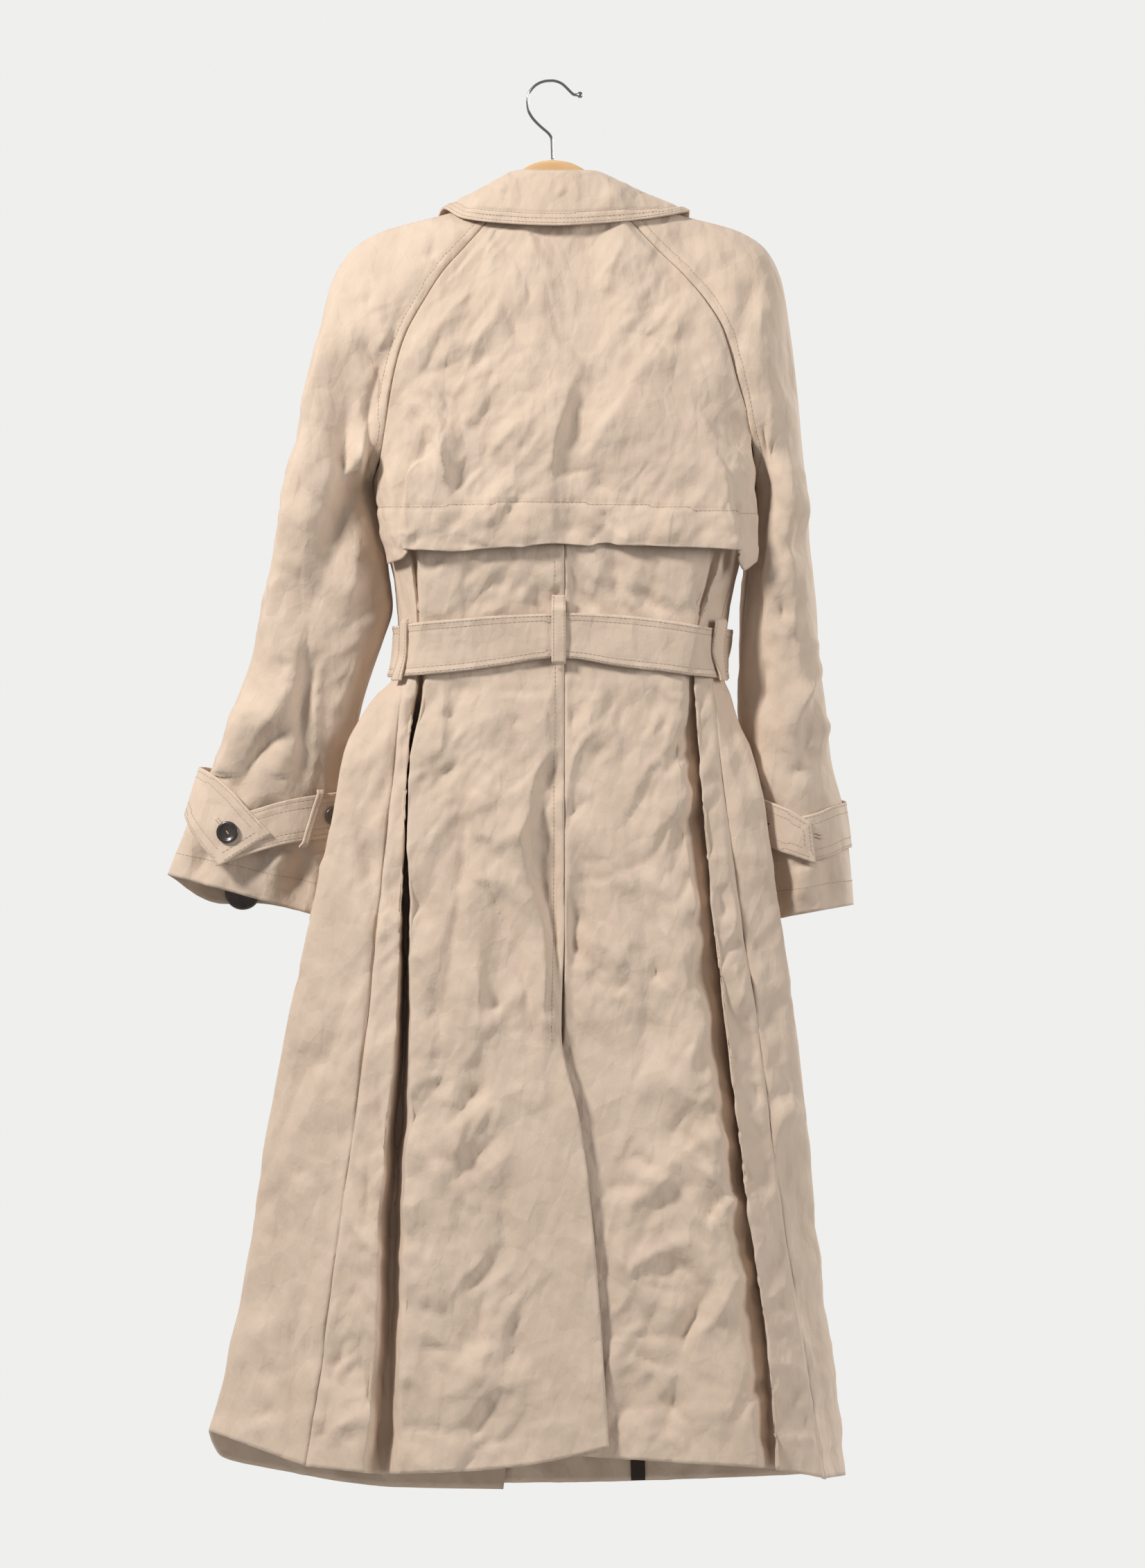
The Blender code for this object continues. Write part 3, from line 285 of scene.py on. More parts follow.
def sleeve_ring(side, face, across):
    """Rings along one half of a sleeve, from its inner seam to the overarm seam: (stations, across, 3)."""
    sign = -1 if face == "back" else 1
    inner = raglan(side, face)
    under = np.array(UNDERARM[side], float)
    u = np.asarray(across, float)[:, None]
    rings = []
    for k in range(STATIONS):
        ox, od = OVERARM[side][k]
        if k <= ARMPIT:
            start = inner[k]
            oy = 0.0
            depth = (38 if side == "left" else 46) * 4 / 3
        else:
            x, d, y, half = under[k - ARMPIT - 1]
            start = np.array([x, y, d])
            oy, depth = y, half * 4 / 3
        end = np.array([ox, oy, od])
        if k < ARMPIT:
            share, out = LEAVE[k]
            first = start + (end - start) * [share, 0, share] + [0, sign * out, 0]
            last = end + [0, sign * ARRIVE[k], 0]
        else:
            first, last = start + [0, sign * depth, 0], end + [0, sign * depth, 0]
            if side == "right" and face == "front":
                first = first + [-27 * math.exp(-(((k - 12.4) / 2.1) ** 2)), 0, 0]
            if side == "left" and face == "front":
                first = first + [9 * math.exp(-(((k - 10.7) / 1.0) ** 2)), 0, 0]
        ring = (1 - u) ** 3 * start + 3 * u * (1 - u) ** 2 * first + 3 * u * u * (1 - u) * last + u ** 3 * end
        if side == "left" and face == "front":
            # the front of this cuff hangs lower than its back
            ring = ring + np.exp(-(((u - 0.65) / 0.17) ** 2)) * np.minimum(1, 12 * u * (1 - u)) * [0, 0, {STATIONS - 2: 5.5, STATIONS - 1: 13.7}.get(k, 0.0)]
        rings.append(ring)
    return np.array(rings)


def normals(grid, towards):
    """Unit normals of a grid, turned so that they face `towards`, a function of the points or a vector."""
    down = np.gradient(grid, axis=0)
    over = np.gradient(grid, axis=1)
    n = np.cross(over, down)
    n /= np.maximum(np.linalg.norm(n, axis=-1, keepdims=True), 1e-9)
    ref = towards(grid) if callable(towards) else np.broadcast_to(np.asarray(towards, float), grid.shape)
    if (n * ref).sum(axis=-1).mean() < 0:
        n = -n
    return n


def pull_back(grid, gaps):
    """Draw the grid's edges in by (top, bottom, first column, last column)."""
    g = grid.copy()
    for gap, edge, inner in ((gaps[0], (0,), (1,)), (gaps[1], (-1,), (-2,))):
        if gap:
            d = g[inner[0]] - g[edge[0]]
            g[edge[0]] += d / np.maximum(np.linalg.norm(d, axis=-1, keepdims=True), 1e-9) * gap
    for gap, edge, inner in ((gaps[2], 0, 1), (gaps[3], -1, -2)):
        if gap:
            d = g[:, inner] - g[:, edge]
            g[:, edge] += d / np.maximum(np.linalg.norm(d, axis=-1, keepdims=True), 1e-9) * gap
    return g


def between(grid, at):
    """Points of each row at positions `at` along the grid's own columns, straight between them."""
    at = np.broadcast_to(np.asarray(at, float), (grid.shape[0], np.shape(at)[-1]))
    k = np.clip(np.floor(at).astype(int), 0, grid.shape[1] - 2)
    w = (at - k)[..., None]
    rows = np.arange(grid.shape[0])[:, None]
    return grid[rows, k] * (1 - w) + grid[rows, k + 1] * w


def rings_round(points):
    """Convex outline of points (x, y), anticlockwise."""
    pts = sorted(set(map(tuple, np.round(points, 3))))
    def half(seq):
        out = []
        for p in seq:
            while len(out) > 1 and (out[-1][0] - out[-2][0]) * (p[1] - out[-2][1]) - (out[-1][1] - out[-2][1]) * (p[0] - out[-2][0]) <= 0:
                out.pop()
            out.append(p)
        return out[:-1]
    return np.array(half(pts) + half(pts[::-1]))


WAIST_X = 8.0


def waist_point(panels, angle, drop, out):
    """The point at `angle` round the waist, `out` clear of the cloth at this drop. Angle 0 is the right side, -90 the back."""
    found = []
    for grid in panels:
        for j in range(grid.shape[1]):
            line = grid[ARMPIT:, j]
            for d in (drop - 4, drop, drop + 3):
                found.append((np.interp(d, line[:, 2], line[:, 0]), np.interp(d, line[:, 2], line[:, 1])))
    outline = rings_round(np.array(found))
    a, b = outline, np.roll(outline, -1, axis=0)
    edge = b - a
    n = np.stack([edge[:, 1], -edge[:, 0]], axis=-1)
    n /= np.linalg.norm(n, axis=-1, keepdims=True)
    way = np.array([math.cos(math.radians(angle)), math.sin(math.radians(angle))])
    reach = ((a - [WAIST_X, 0]) * n).sum(axis=-1) + out
    facing = n @ way
    r = min(reach[i] / facing[i] for i in range(len(n)) if facing[i] > 1e-6)
    return np.array([WAIST_X + way[0] * r, way[1] * r, drop])
FLAP_CREASES = (
    # form, reach to the left and right, depth, and its line of (x, drop)
    ("trough", 14, 14, 2.6, ((38, 144), (37, 165), (35, 189), (33, 213), (29, 235), (25, 251))),
    ("crest", 10, 8, 1.8, ((50, 141), (48, 154), (52, 170), (48, 189))),
    ("crest", 14, 10, 1.8, ((-18, 133), (-24, 160), (-24, 189), (-21, 213))),
    ("line", 3, 4, 0.9, ((-16, 157), (-6, 181), (1, 205), (7, 230), (9, 248))),
    ("trough", 12, 10, 1.8, ((-60, 149), (-65, 170), (-73, 189), (-79, 205))),
    ("crest", 7, 9, 1.6, ((-47, 136), (-56, 149), (-63, 165))),
    ("line", 4, 3, 0.8, ((-47, 192), (-33, 224), (-29, 248))),
    ("line", 4, 5, 1.5, ((60, 224), (83, 226), (101, 235))),
    ("crest", 9, 9, 1.4, ((100, 236), (91, 248), (74, 262))),
    ("trough", 8, 8, 1.6, ((112, 164), (105, 176), (95, 191), (92, 205))),
    ("crest", 8, 8, 1.2, ((64, 141), (56, 157), (53, 173))),
    ("trough", 8, 8, 1.2, ((112, 222), (126, 238), (134, 254))),
    ("line", 4, 5, 1.3, ((-118, 262), (-95, 258), (-80, 253))),
    ("line", 5, 5, 1.2, ((-79, 262), (-63, 248), (-52, 235))),
    ("line", 3, 4, 0.8, ((-6, 160), (13, 168), (33, 174))),
    ("crest", 16, 5, 3.0, ((29, 242), (21, 263), (13, 282), (7, 304), (1, 325), (-1, 349), (0, 376), (1, 409))),
    ("trough", 9, 13, 2.4, ((41, 253), (29, 277), (21, 301), (13, 325), (11, 344))),
    ("crest", 6, 14, 1.8, ((77, 258), (64, 282), (48, 306), (34, 328), (22, 339))),
    ("line", 4, 5, 1.5, ((-127, 294), (-118, 302), (-107, 315))),
    ("line", 5, 4, 1.9, ((-93, 284), (-84, 300), (-75, 315), (-63, 329))),
    ("line", 4, 5, 1.6, ((-63, 331), (-74, 345), (-84, 360), (-90, 372))),
    ("crest", 5, 5, 1.7, ((-97, 301), (-102, 323), (-99, 337), (-93, 358), (-89, 371))),
    ("line", 5, 4, 1.2, ((-129, 342), (-115, 334), (-100, 324))),
    ("crest", 8, 8, 1.3, ((-60, 253), (-67, 262), (-79, 267))),
    ("crest", 10, 6, 1.7, ((-15, 281), (-23, 306), (-33, 331), (-36, 352), (-45, 371))),
    ("line", 4, 4, 1.6, ((87, 340), (78, 352), (68, 366), (63, 374))),
    ("trough", 6, 7, 1.6, ((128, 285), (146, 306), (162, 323), (177, 334))),
    ("crest", 6, 6, 1.3, ((134, 301), (151, 323), (166, 335), (176, 344))),
    ("line", 3, 4, 1.0, ((44, 271), (50, 283), (60, 284))),
    ("line", 5, 5, 1.1, ((95, 328), (110, 349), (126, 366), (132, 375))),
    ("line", 4, 4, 1.2, ((2, 347), (21, 349), (37, 345))),
    ("trough", 7, 7, 1.6, ((41, 349), (44, 363), (48, 372))),
    ("trough", 9, 9, 1.6, ((-90, 379), (-86, 398), (-84, 417))),
    ("crest", 8, 8, 1.3, ((-24, 382), (-22, 398), (-24, 414))),
    ("line", 4, 6, 2.0, ((44, 383), (48, 395), (38, 407), (33, 416))),
    ("crest", 9, 6, 1.5, ((96, 383), (103, 398), (109, 414))),
    ("trough", 8, 8, 1.4, ((128, 383), (135, 398), (140, 413))),
    ("crest", 7, 7, 1.3, ((151, 390), (159, 405), (166, 419))),
    ("crest", 9, 9, 1.3, ((-57, 382), (-60, 398), (-63, 415))),
    ("trough", 9, 9, 1.4, ((15, 382), (17, 398), (15, 413))),
    ("crest", 8, 8, 1.2, ((64, 383), (66, 398), (69, 413))),
    ("line", 4, 4, 1.3, ((-114, 261), (-97, 258), (-80, 252))),
    ("line", 4, 4, 1.2, ((-99, 278), (-90, 292), (-78, 315), (-63, 332))),
    ("line", 4, 4, 1.2, ((-63, 332), (-77, 348), (-88, 368))),
    ("crest", 4, 5, 1.3, ((-90, 302), (-100, 329), (-100, 346), (-91, 368))),
    ("line", 4, 4, 1.0, ((-104, 315), (-117, 331))),
)
SLEEVE_LEFT_CREASES = (
    # form, reach to the left and right, depth, and its line of (x, drop)
    ("crest", 5, 15, 3.4, ((-190, 193), (-193, 219), (-201, 253), (-208, 288), (-210, 312), (-211, 338), (-213, 363), (-218, 397), (-220, 428))),
    ("trough", 10, 12, 3.0, ((-184, 193), (-186, 236), (-188, 261), (-189, 295), (-189, 321), (-186, 338), (-183, 363), (-192, 397), (-199, 428), (-207, 458), (-209, 481))),
    ("crest", 4, 8, 2.4, ((-214, 319), (-222, 350), (-229, 370), (-233, 397), (-239, 419), (-243, 448), (-245, 454), (-251, 477), (-262, 497))),
    ("crest", 9, 6, 3.2, ((-219, 475), (-223, 491), (-226, 514), (-228, 547), (-230, 572), (-230, 605), (-231, 637))),
    ("trough", 8, 14, 3.0, ((-208, 504), (-214, 531), (-219, 555), (-222, 580), (-223, 605), (-224, 630))),
    ("crest", 5, 6, 1.6, ((-201, 510), (-205, 517), (-210, 547), (-211, 572), (-212, 597), (-215, 630))),
    ("crest", 7, 6, 2.2, ((-168, 325), (-176, 340), (-184, 355), (-194, 389))),
    ("crest", 4, 5, 1.4, ((-173, 404), (-178, 431), (-183, 464), (-186, 477))),
    ("crest", 4, 5, 1.5, ((-176, 514), (-180, 534), (-196, 564))),
    ("trough", 6, 6, 2.6, ((-182, 590), (-186, 605), (-190, 630))),
    ("line", 4, 4, 2.0, ((-161, 237), (-165, 248), (-156, 256), (-151, 270), (-156, 293), (-161, 302))),
    ("crest", 4, 4, 1.8, ((-166, 306), (-170, 329), (-170, 346), (-167, 363))),
    ("crest", 5, 8, 1.9, ((-265, 585), (-248, 565), (-230, 539))),
    ("trough", 7, 7, 2.4, ((-282, 635), (-270, 610), (-253, 592), (-236, 575))),
    ("line", 4, 4, 1.2, ((-234, 515), (-245, 534))),
    ("crest", 10, 10, 2.2, ((-268, 560), (-282, 590), (-298, 625), (-306, 655))),
    ("trough", 8, 8, 2.0, ((-246, 640), (-256, 668), (-268, 696))),
    ("crest", 8, 9, 2.2, ((-240, 668), (-249, 700), (-262, 728))),
    ("trough", 7, 9, 2.2, ((-222, 676), (-226, 704), (-232, 738))),
    ("crest", 7, 7, 2.0, ((-208, 668), (-212, 700), (-216, 742))),
    ("trough", 8, 9, 1.8, ((-300, 676), (-312, 696), (-322, 712))),
    ("line", 5, 5, 1.2, ((-115, 144), (-103, 161), (-106, 162))),
    ("crest", 6, 8, 1.8, ((-192, 187), (-194, 208), (-198, 235), (-200, 262))),
    ("trough", 8, 8, 1.8, ((-181, 192), (-170, 224), (-166, 246), (-154, 262))),
    ("crest", 6, 6, 1.2, ((-141, 213), (-150, 230), (-165, 246))),
    ("line", 4, 4, 0.9, ((-170, 189), (-163, 203), (-159, 211))),
    ("trough", 16, 16, 1.6, ((-133, 125), (-143, 152), (-154, 179))),
)
SLEEVE_RIGHT_CREASES = (
    # form, reach to the left and right, depth, and its line of (x, drop)
    ("trough", 22, 20, 2.2, ((207, 244), (210, 282), (212, 318), (210, 347))),
    ("crest", 12, 22, 2.0, ((192, 252), (195, 291), (194, 333), (190, 359))),
    ("line", 4, 5, 1.3, ((204, 309), (198, 327), (196, 350))),
    ("line", 3, 4, 1.1, ((192, 294), (189, 318), (190, 336))),
    ("crest", 6, 6, 1.6, ((222, 347), (226, 359), (227, 383), (230, 407))),
    ("trough", 8, 8, 2.0, ((215, 386), (217, 407), (216, 427))),
    ("crest", 14, 14, 1.8, ((197, 383), (193, 419), (190, 448), (185, 475))),
    ("line", 4, 5, 2.0, ((205, 459), (205, 475), (207, 493))),
    ("crest", 5, 6, 1.6, ((210, 462), (214, 481), (216, 499))),
    ("trough", 10, 12, 1.8, ((196, 490), (194, 519), (195, 549), (200, 579))),
    ("line", 4, 4, 1.3, ((182, 515), (180, 534), (179, 554))),
    ("line", 4, 4, 1.0, ((188, 517), (185, 537), (187, 558))),
    ("crest", 5, 6, 1.9, ((237, 528), (225, 549), (220, 567), (221, 585))),
    ("trough", 6, 6, 2.2, ((239, 537), (230, 561), (226, 582), (229, 601))),
    ("crest", 5, 5, 1.6, ((244, 568), (236, 585), (230, 598))),
    ("line", 5, 5, 1.5, ((215, 620), (230, 609), (245, 599))),
    ("crest", 8, 10, 1.6, ((233, 496), (236, 517), (239, 534))),
    ("trough", 12, 12, 1.4, ((170, 490), (170, 525), (173, 561))),
    ("crest", 10, 12, 2.0, ((191, 170), (187, 192), (184, 216), (182, 240))),
    ("trough", 9, 10, 2.0, ((182, 176), (176, 197), (169, 222), (166, 240))),
    ("line", 5, 5, 1.1, ((134, 170), (142, 184), (152, 208))),
    ("line", 4, 4, 0.9, ((169, 154), (158, 160), (150, 170))),
    ("trough", 14, 14, 1.4, ((112, 127), (128, 152), (142, 176))),
    ("trough", 8, 9, 2.0, ((196, 668), (200, 700), (206, 742))),
    ("crest", 8, 8, 2.0, ((216, 668), (221, 700), (226, 745))),
    ("trough", 8, 8, 1.8, ((240, 640), (246, 690), (250, 736))),
)
BODY_CREASES = (
    # form, reach to the left and right, depth, and its line of (x, drop)
    ("crest", 7, 7, 1.7, ((-80, 422), (-92, 446), (-95, 462))),
    ("trough", 7, 7, 1.4, ((-71, 425), (-76, 446), (-77, 462))),
    ("crest", 6, 8, 1.6, ((-51, 422), (-53, 441), (-53, 462))),
    ("line", 4, 4, 1.0, ((-38, 425), (-36, 441), (-27, 460))),
    ("trough", 7, 7, 1.6, ((-21, 422), (-14, 444), (-13, 462))),
    ("crest", 7, 6, 1.5, ((30, 422), (37, 441), (34, 462))),
    ("trough", 7, 7, 1.6, ((50, 422), (58, 441), (56, 462))),
    ("crest", 7, 7, 1.5, ((77, 425), (72, 444), (74, 462))),
    ("line", 4, 4, 1.2, ((96, 425), (91, 444), (96, 462))),
    ("crest", 8, 8, 1.5, ((118, 422), (115, 444), (119, 462))),
    ("crest", 5, 6, 1.7, ((-93, 437), (-102, 464), (-102, 482))),
    ("crest", 5, 7, 2.2, ((-100, 533), (-98, 552), (-97, 566), (-99, 585), (-101, 607))),
    ("line", 4, 4, 1.6, ((-96, 560), (-93, 566), (-88, 576))),
    ("line", 4, 5, 2.2, ((-78, 611), (-89, 614), (-100, 621), (-109, 635))),
    ("trough", 8, 8, 1.4, ((-99, 586), (-85, 598), (-74, 598))),
    ("line", 5, 7, 2.4, ((-94, 630), (-85, 643), (-79, 661), (-79, 686), (-83, 724), (-88, 762), (-91, 793))),
    ("line", 5, 6, 2.2, ((-42, 633), (-51, 650), (-64, 671), (-60, 697), (-55, 724), (-45, 747), (-38, 765), (-31, 793))),
    ("crest", 6, 6, 1.8, ((-55, 676), (-62, 674), (-66, 678))),
    ("crest", 15, 6, 3.4, ((-3, 552), (-6, 585), (-5, 600), (-14, 618), (-20, 636), (-22, 661), (-29, 674), (-26, 692), (-20, 717), (-9, 752), (-5, 778), (-5, 795))),
    ("trough", 8, 10, 3.0, ((3, 593), (-2, 618), (-10, 651), (-12, 681), (-9, 702), (-3, 732), (3, 762), (6, 793))),
    ("line", 3, 3, 1.0, ((-30, 567), (-32, 571), (-35, 576))),
    ("crest", 7, 7, 1.4, ((-55, 621), (-69, 636), (-76, 651))),
    ("crest", 5, 8, 2.0, ((-9, 524), (-6, 537), (-5, 555))),
    ("line", 4, 4, 1.5, ((14, 657), (24, 649), (34, 640))),
    ("line", 4, 4, 1.3, ((21, 550), (16, 568), (19, 585))),
    ("crest", 7, 7, 1.6, ((29, 521), (35, 537), (31, 555))),
    ("line", 4, 4, 1.4, ((40, 531), (53, 550), (65, 573), (72, 588))),
    ("trough", 20, 20, 2.6, ((87, 537), (97, 560), (106, 583), (111, 605))),
    ("crest", 8, 8, 1.6, ((114, 537), (117, 560), (120, 583))),
    ("line", 4, 4, 2.0, ((131, 595), (121, 602), (114, 609), (122, 618), (131, 631))),
    ("trough", 9, 9, 1.6, ((50, 592), (41, 605), (29, 617), (24, 631))),
    ("line", 4, 4, 1.2, ((76, 648), (67, 661))),
    ("crest", 9, 9, 1.6, ((125, 628), (112, 651), (90, 671), (79, 686))),
    ("trough", 12, 12, 2.2, ((130, 641), (120, 671), (102, 692), (82, 707))),
    ("line", 5, 5, 1.3, ((15, 685), (31, 697), (53, 696))),
    ("line", 4, 4, 1.1, ((19, 712), (46, 712), (72, 702), (90, 692))),
    ("trough", 14, 12, 3.2, ((17, 709), (22, 732), (24, 757), (24, 793))),
    ("trough", 9, 9, 2.2, ((141, 734), (131, 750), (143, 766))),
    ("crest", 11, 14, 2.6, ((-183, 616), (-178, 651), (-178, 686), (-172, 724), (-167, 757), (-161, 781))),
    ("trough", 10, 10, 2.0, ((-167, 631), (-169, 661), (-166, 702), (-159, 737))),
    ("line", 4, 4, 1.4, ((-139, 625), (-148, 631), (-153, 628))),
    ("crest", 6, 7, 1.6, ((-142, 565), (-148, 593), (-155, 616))),
    ("crest", 6, 6, 1.5, ((-130, 542), (-136, 568), (-138, 593), (-136, 616))),
    ("line", 4, 5, 1.4, ((141, 714), (150, 732), (146, 751))),
    ("line", 4, 4, 1.1, ((159, 585), (170, 605), (178, 628))),
    ("crest", 9, 9, 1.5, ((163, 631), (173, 666), (181, 702))),
    ("line", 8, 6, 2.2, ((-89, 770), (-92, 789), (-97, 817), (-101, 846), (-103, 866))),
    ("crest", 9, 4, 2.2, ((-66, 770), (-65, 794), (-66, 819), (-65, 845))),
    ("line", 7, 5, 2.4, ((-34, 775), (-27, 802), (-23, 819), (-23, 842), (-24, 859))),
    ("crest", 13, 5, 3.4, ((-7, 770), (-7, 798), (-8, 827), (-7, 849), (-8, 876), (-7, 906))),
    ("line", 4, 4, 1.3, ((-49, 845), (-55, 865), (-60, 884), (-62, 901))),
    ("line", 3, 4, 1.7, ((-66, 900), (-75, 906), (-80, 911))),
    ("crest", 8, 4, 2.0, ((-29, 901), (-47, 908), (-57, 920), (-67, 937), (-72, 952))),
    ("line", 4, 4, 2.4, ((2, 915), (-9, 922), (-23, 928), (-40, 939))),
    ("line", 4, 6, 1.7, ((-40, 939), (-57, 950), (-75, 969), (-88, 984), (-94, 997))),
    ("crest", 8, 6, 1.6, ((-33, 946), (-42, 961), (-63, 978), (-78, 994))),
    ("line", 4, 4, 1.4, ((2, 963), (-14, 975), (-33, 988), (-48, 1004))),
    ("line", 4, 4, 1.1, ((-42, 996), (-44, 1013), (-47, 1035))),
    ("crest", 6, 5, 1.5, ((-93, 897), (-83, 922), (-82, 941), (-87, 960), (-89, 981))),
    ("line", 4, 4, 1.4, ((-112, 827), (-103, 825), (-112, 843))),
    ("line", 4, 4, 1.2, ((-67, 819), (-55, 825), (-43, 825))),
    ("line", 4, 4, 1.3, ((-117, 877), (-103, 873), (-92, 876))),
    ("crest", 6, 6, 1.6, ((-0, 836), (-3, 846), (-6, 859))),
    ("line", 4, 4, 1.3, ((-40, 844), (-34, 861))),
    ("line", 4, 4, 1.3, ((-14, 855), (-33, 866), (-44, 868))),
    ("crest", 8, 10, 2.0, ((-173, 817), (-171, 846), (-173, 876), (-177, 903))),
    ("trough", 8, 10, 1.8, ((-188, 846), (-196, 865), (-213, 885))),
    ("line", 5, 5, 1.8, ((-156, 888), (-156, 914), (-155, 941))),
    ("line", 4, 5, 2.2, ((-161, 951), (-167, 971), (-167, 988), (-170, 1026))),
    ("line", 4, 5, 1.8, ((-234, 983), (-225, 974), (-219, 968))),
    ("line", 5, 5, 1.6, ((-234, 882), (-230, 903), (-234, 922))),
    ("crest", 8, 8, 1.8, ((-203, 874), (-209, 903), (-215, 931), (-213, 960))),
    ("line", 4, 4, 1.9, ((91, 784), (93, 796), (86, 809))),
    ("line", 6, 8, 1.4, ((86, 810), (85, 830), (81, 861), (80, 876), (70, 899), (63, 925))),
    ("line", 3, 4, 1.6, ((71, 796), (63, 810), (56, 816))),
    ("trough", 11, 9, 2.8, ((136, 777), (134, 794), (137, 808), (139, 821), (135, 833))),
    ("trough", 9, 9, 2.2, ((152, 843), (144, 861), (136, 884), (139, 894))),
    ("crest", 7, 8, 1.8, ((129, 840), (129, 855), (123, 876), (125, 903))),
    ("line", 4, 4, 1.9, ((71, 960), (83, 967), (95, 974))),
    ("crest", 6, 5, 2.2, ((95, 974), (110, 965), (125, 954), (137, 944), (146, 937))),
    ("line", 4, 4, 1.3, ((55, 989), (76, 987), (84, 986))),
    ("crest", 5, 5, 1.7, ((83, 983), (99, 984), (105, 978))),
    ("line", 3, 3, 1.1, ((126, 853), (118, 868), (108, 882), (104, 888))),
    ("line", 5, 5, 2.2, ((173, 991), (156, 994), (146, 1005), (138, 1020), (135, 1042))),
    ("crest", 5, 5, 1.7, ((167, 995), (154, 1007), (148, 1022))),
    ("crest", 10, 6, 2.0, ((146, 938), (144, 971), (150, 996))),
    ("line", 4, 4, 1.4, ((140, 895), (123, 920), (110, 935), (106, 948))),
    ("trough", 8, 8, 1.6, ((148, 903), (144, 922), (148, 935))),
    ("crest", 6, 8, 1.9, ((207, 887), (201, 901), (203, 916), (205, 931))),
    ("line", 4, 4, 1.5, ((181, 894), (184, 910), (174, 922))),
    ("crest", 7, 7, 1.6, ((164, 787), (167, 808), (174, 827))),
    ("line", 4, 4, 1.4, ((197, 967), (188, 978), (178, 990))),
    ("line", 4, 5, 1.3, ((220, 992), (230, 1009), (232, 1022))),
    ("crest", 8, 8, 1.5, ((212, 903), (210, 927), (212, 952))),
    ("line", 4, 5, 2.2, ((-233, 1076), (-227, 1097), (-222, 1121), (-214, 1142), (-208, 1154))),
    ("line", 5, 5, 2.2, ((-232, 1110), (-234, 1136), (-233, 1163), (-234, 1191), (-232, 1206))),
    ("line", 5, 6, 3.0, ((-185, 1099), (-189, 1121), (-195, 1148), (-199, 1171), (-203, 1191), (-205, 1206))),
    ("line", 6, 5, 2.4, ((-173, 1121), (-171, 1144), (-163, 1156), (-165, 1178), (-171, 1202))),
    ("crest", 4, 4, 1.9, ((-216, 1199), (-211, 1195), (-206, 1192))),
    ("crest", 4, 5, 2.2, ((-203, 1211), (-188, 1203), (-168, 1193))),
    ("line", 4, 4, 1.8, ((-248, 1180), (-256, 1190), (-266, 1198))),
    ("crest", 6, 6, 1.6, ((-280, 1209), (-264, 1205), (-247, 1197))),
    ("line", 3, 3, 1.5, ((-209, 1207), (-207, 1215))),
    ("line", 3, 3, 1.4, ((-180, 1209), (-178, 1216))),
    ("line", 4, 5, 2.2, ((-66, 1078), (-65, 1106), (-68, 1125), (-72, 1137))),
    ("crest", 5, 5, 1.9, ((-54, 1106), (-57, 1134), (-70, 1152))),
    ("line", 5, 5, 2.2, ((-57, 1177), (-64, 1201), (-72, 1215))),
    ("line", 4, 4, 1.2, ((-100, 1112), (-79, 1125), (-71, 1127))),
    ("line", 3, 3, 1.0, ((-121, 1133), (-95, 1134), (-72, 1139))),
    ("crest", 5, 5, 1.4, ((-130, 1144), (-131, 1171))),
    ("line", 3, 4, 1.4, ((-100, 1202), (-108, 1209))),
    ("line", 3, 3, 1.0, ((-139, 1205), (-111, 1204))),
    ("line", 5, 5, 1.4, ((-120, 1095), (-106, 1102), (-92, 1102))),
    ("trough", 8, 9, 2.8, ((-152, 1191), (-154, 1220), (-169, 1241))),
    ("crest", 8, 7, 1.8, ((-264, 1106), (-258, 1125), (-246, 1153))),
    ("trough", 8, 9, 1.8, ((-292, 1167), (-296, 1188), (-286, 1212))),
    ("crest", 6, 6, 1.5, ((-40, 1136), (-36, 1152), (-41, 1174))),
    ("line", 4, 4, 1.3, ((-30, 1079), (-38, 1085))),
    ("crest", 5, 5, 1.9, ((46, 1042), (56, 1053), (67, 1064))),
    ("crest", 5, 5, 1.9, ((67, 1064), (89, 1050), (113, 1036))),
    ("line", 4, 4, 1.4, ((68, 1072), (94, 1065), (128, 1057))),
    ("line", 3, 3, 1.1, ((73, 1073), (102, 1081), (128, 1083))),
    ("trough", 7, 5, 3.0, ((141, 1081), (128, 1103), (119, 1122), (114, 1146))),
    ("crest", 5, 6, 2.2, ((167, 1067), (156, 1090), (145, 1109), (122, 1124))),
    ("crest", 5, 5, 1.5, ((113, 1149), (102, 1167), (94, 1178))),
    ("line", 4, 5, 1.9, ((111, 1158), (105, 1192), (102, 1210))),
    ("line", 4, 4, 2.2, ((194, 1158), (181, 1175), (170, 1190), (164, 1199))),
    ("crest", 5, 5, 1.6, ((194, 1167), (183, 1182), (173, 1192))),
    ("line", 3, 3, 0.9, ((51, 1122), (77, 1122), (118, 1121))),
    ("line", 3, 4, 1.2, ((53, 1128), (85, 1143), (118, 1156))),
    ("line", 3, 3, 1.0, ((51, 1186), (77, 1187), (103, 1181))),
    ("line", 3, 3, 1.0, ((128, 1182), (111, 1180))),
    ("line", 4, 4, 1.4, ((-55, 1120), (-54, 1137), (-60, 1158))),
    ("line", 4, 4, 1.8, ((21, 1150), (15, 1175), (8, 1198))),
    ("crest", 5, 5, 1.5, ((0, 1167), (2, 1188), (-0, 1206))),
    ("crest", 6, 6, 1.4, ((-6, 1177), (-12, 1194), (-18, 1213))),
    ("line", 4, 4, 1.4, ((196, 1094), (201, 1096), (207, 1092))),
    ("line", 4, 4, 1.5, ((194, 1124), (209, 1122), (220, 1133))),
    ("crest", 5, 5, 1.4, ((198, 1146), (215, 1149), (222, 1147))),
    ("line", 4, 4, 1.3, ((203, 1191), (215, 1180), (222, 1167))),
    ("crest", 5, 5, 1.3, ((207, 1215), (220, 1214), (235, 1213))),
    ("crest", 6, 6, 1.4, ((238, 1150), (243, 1162), (247, 1180))),
)
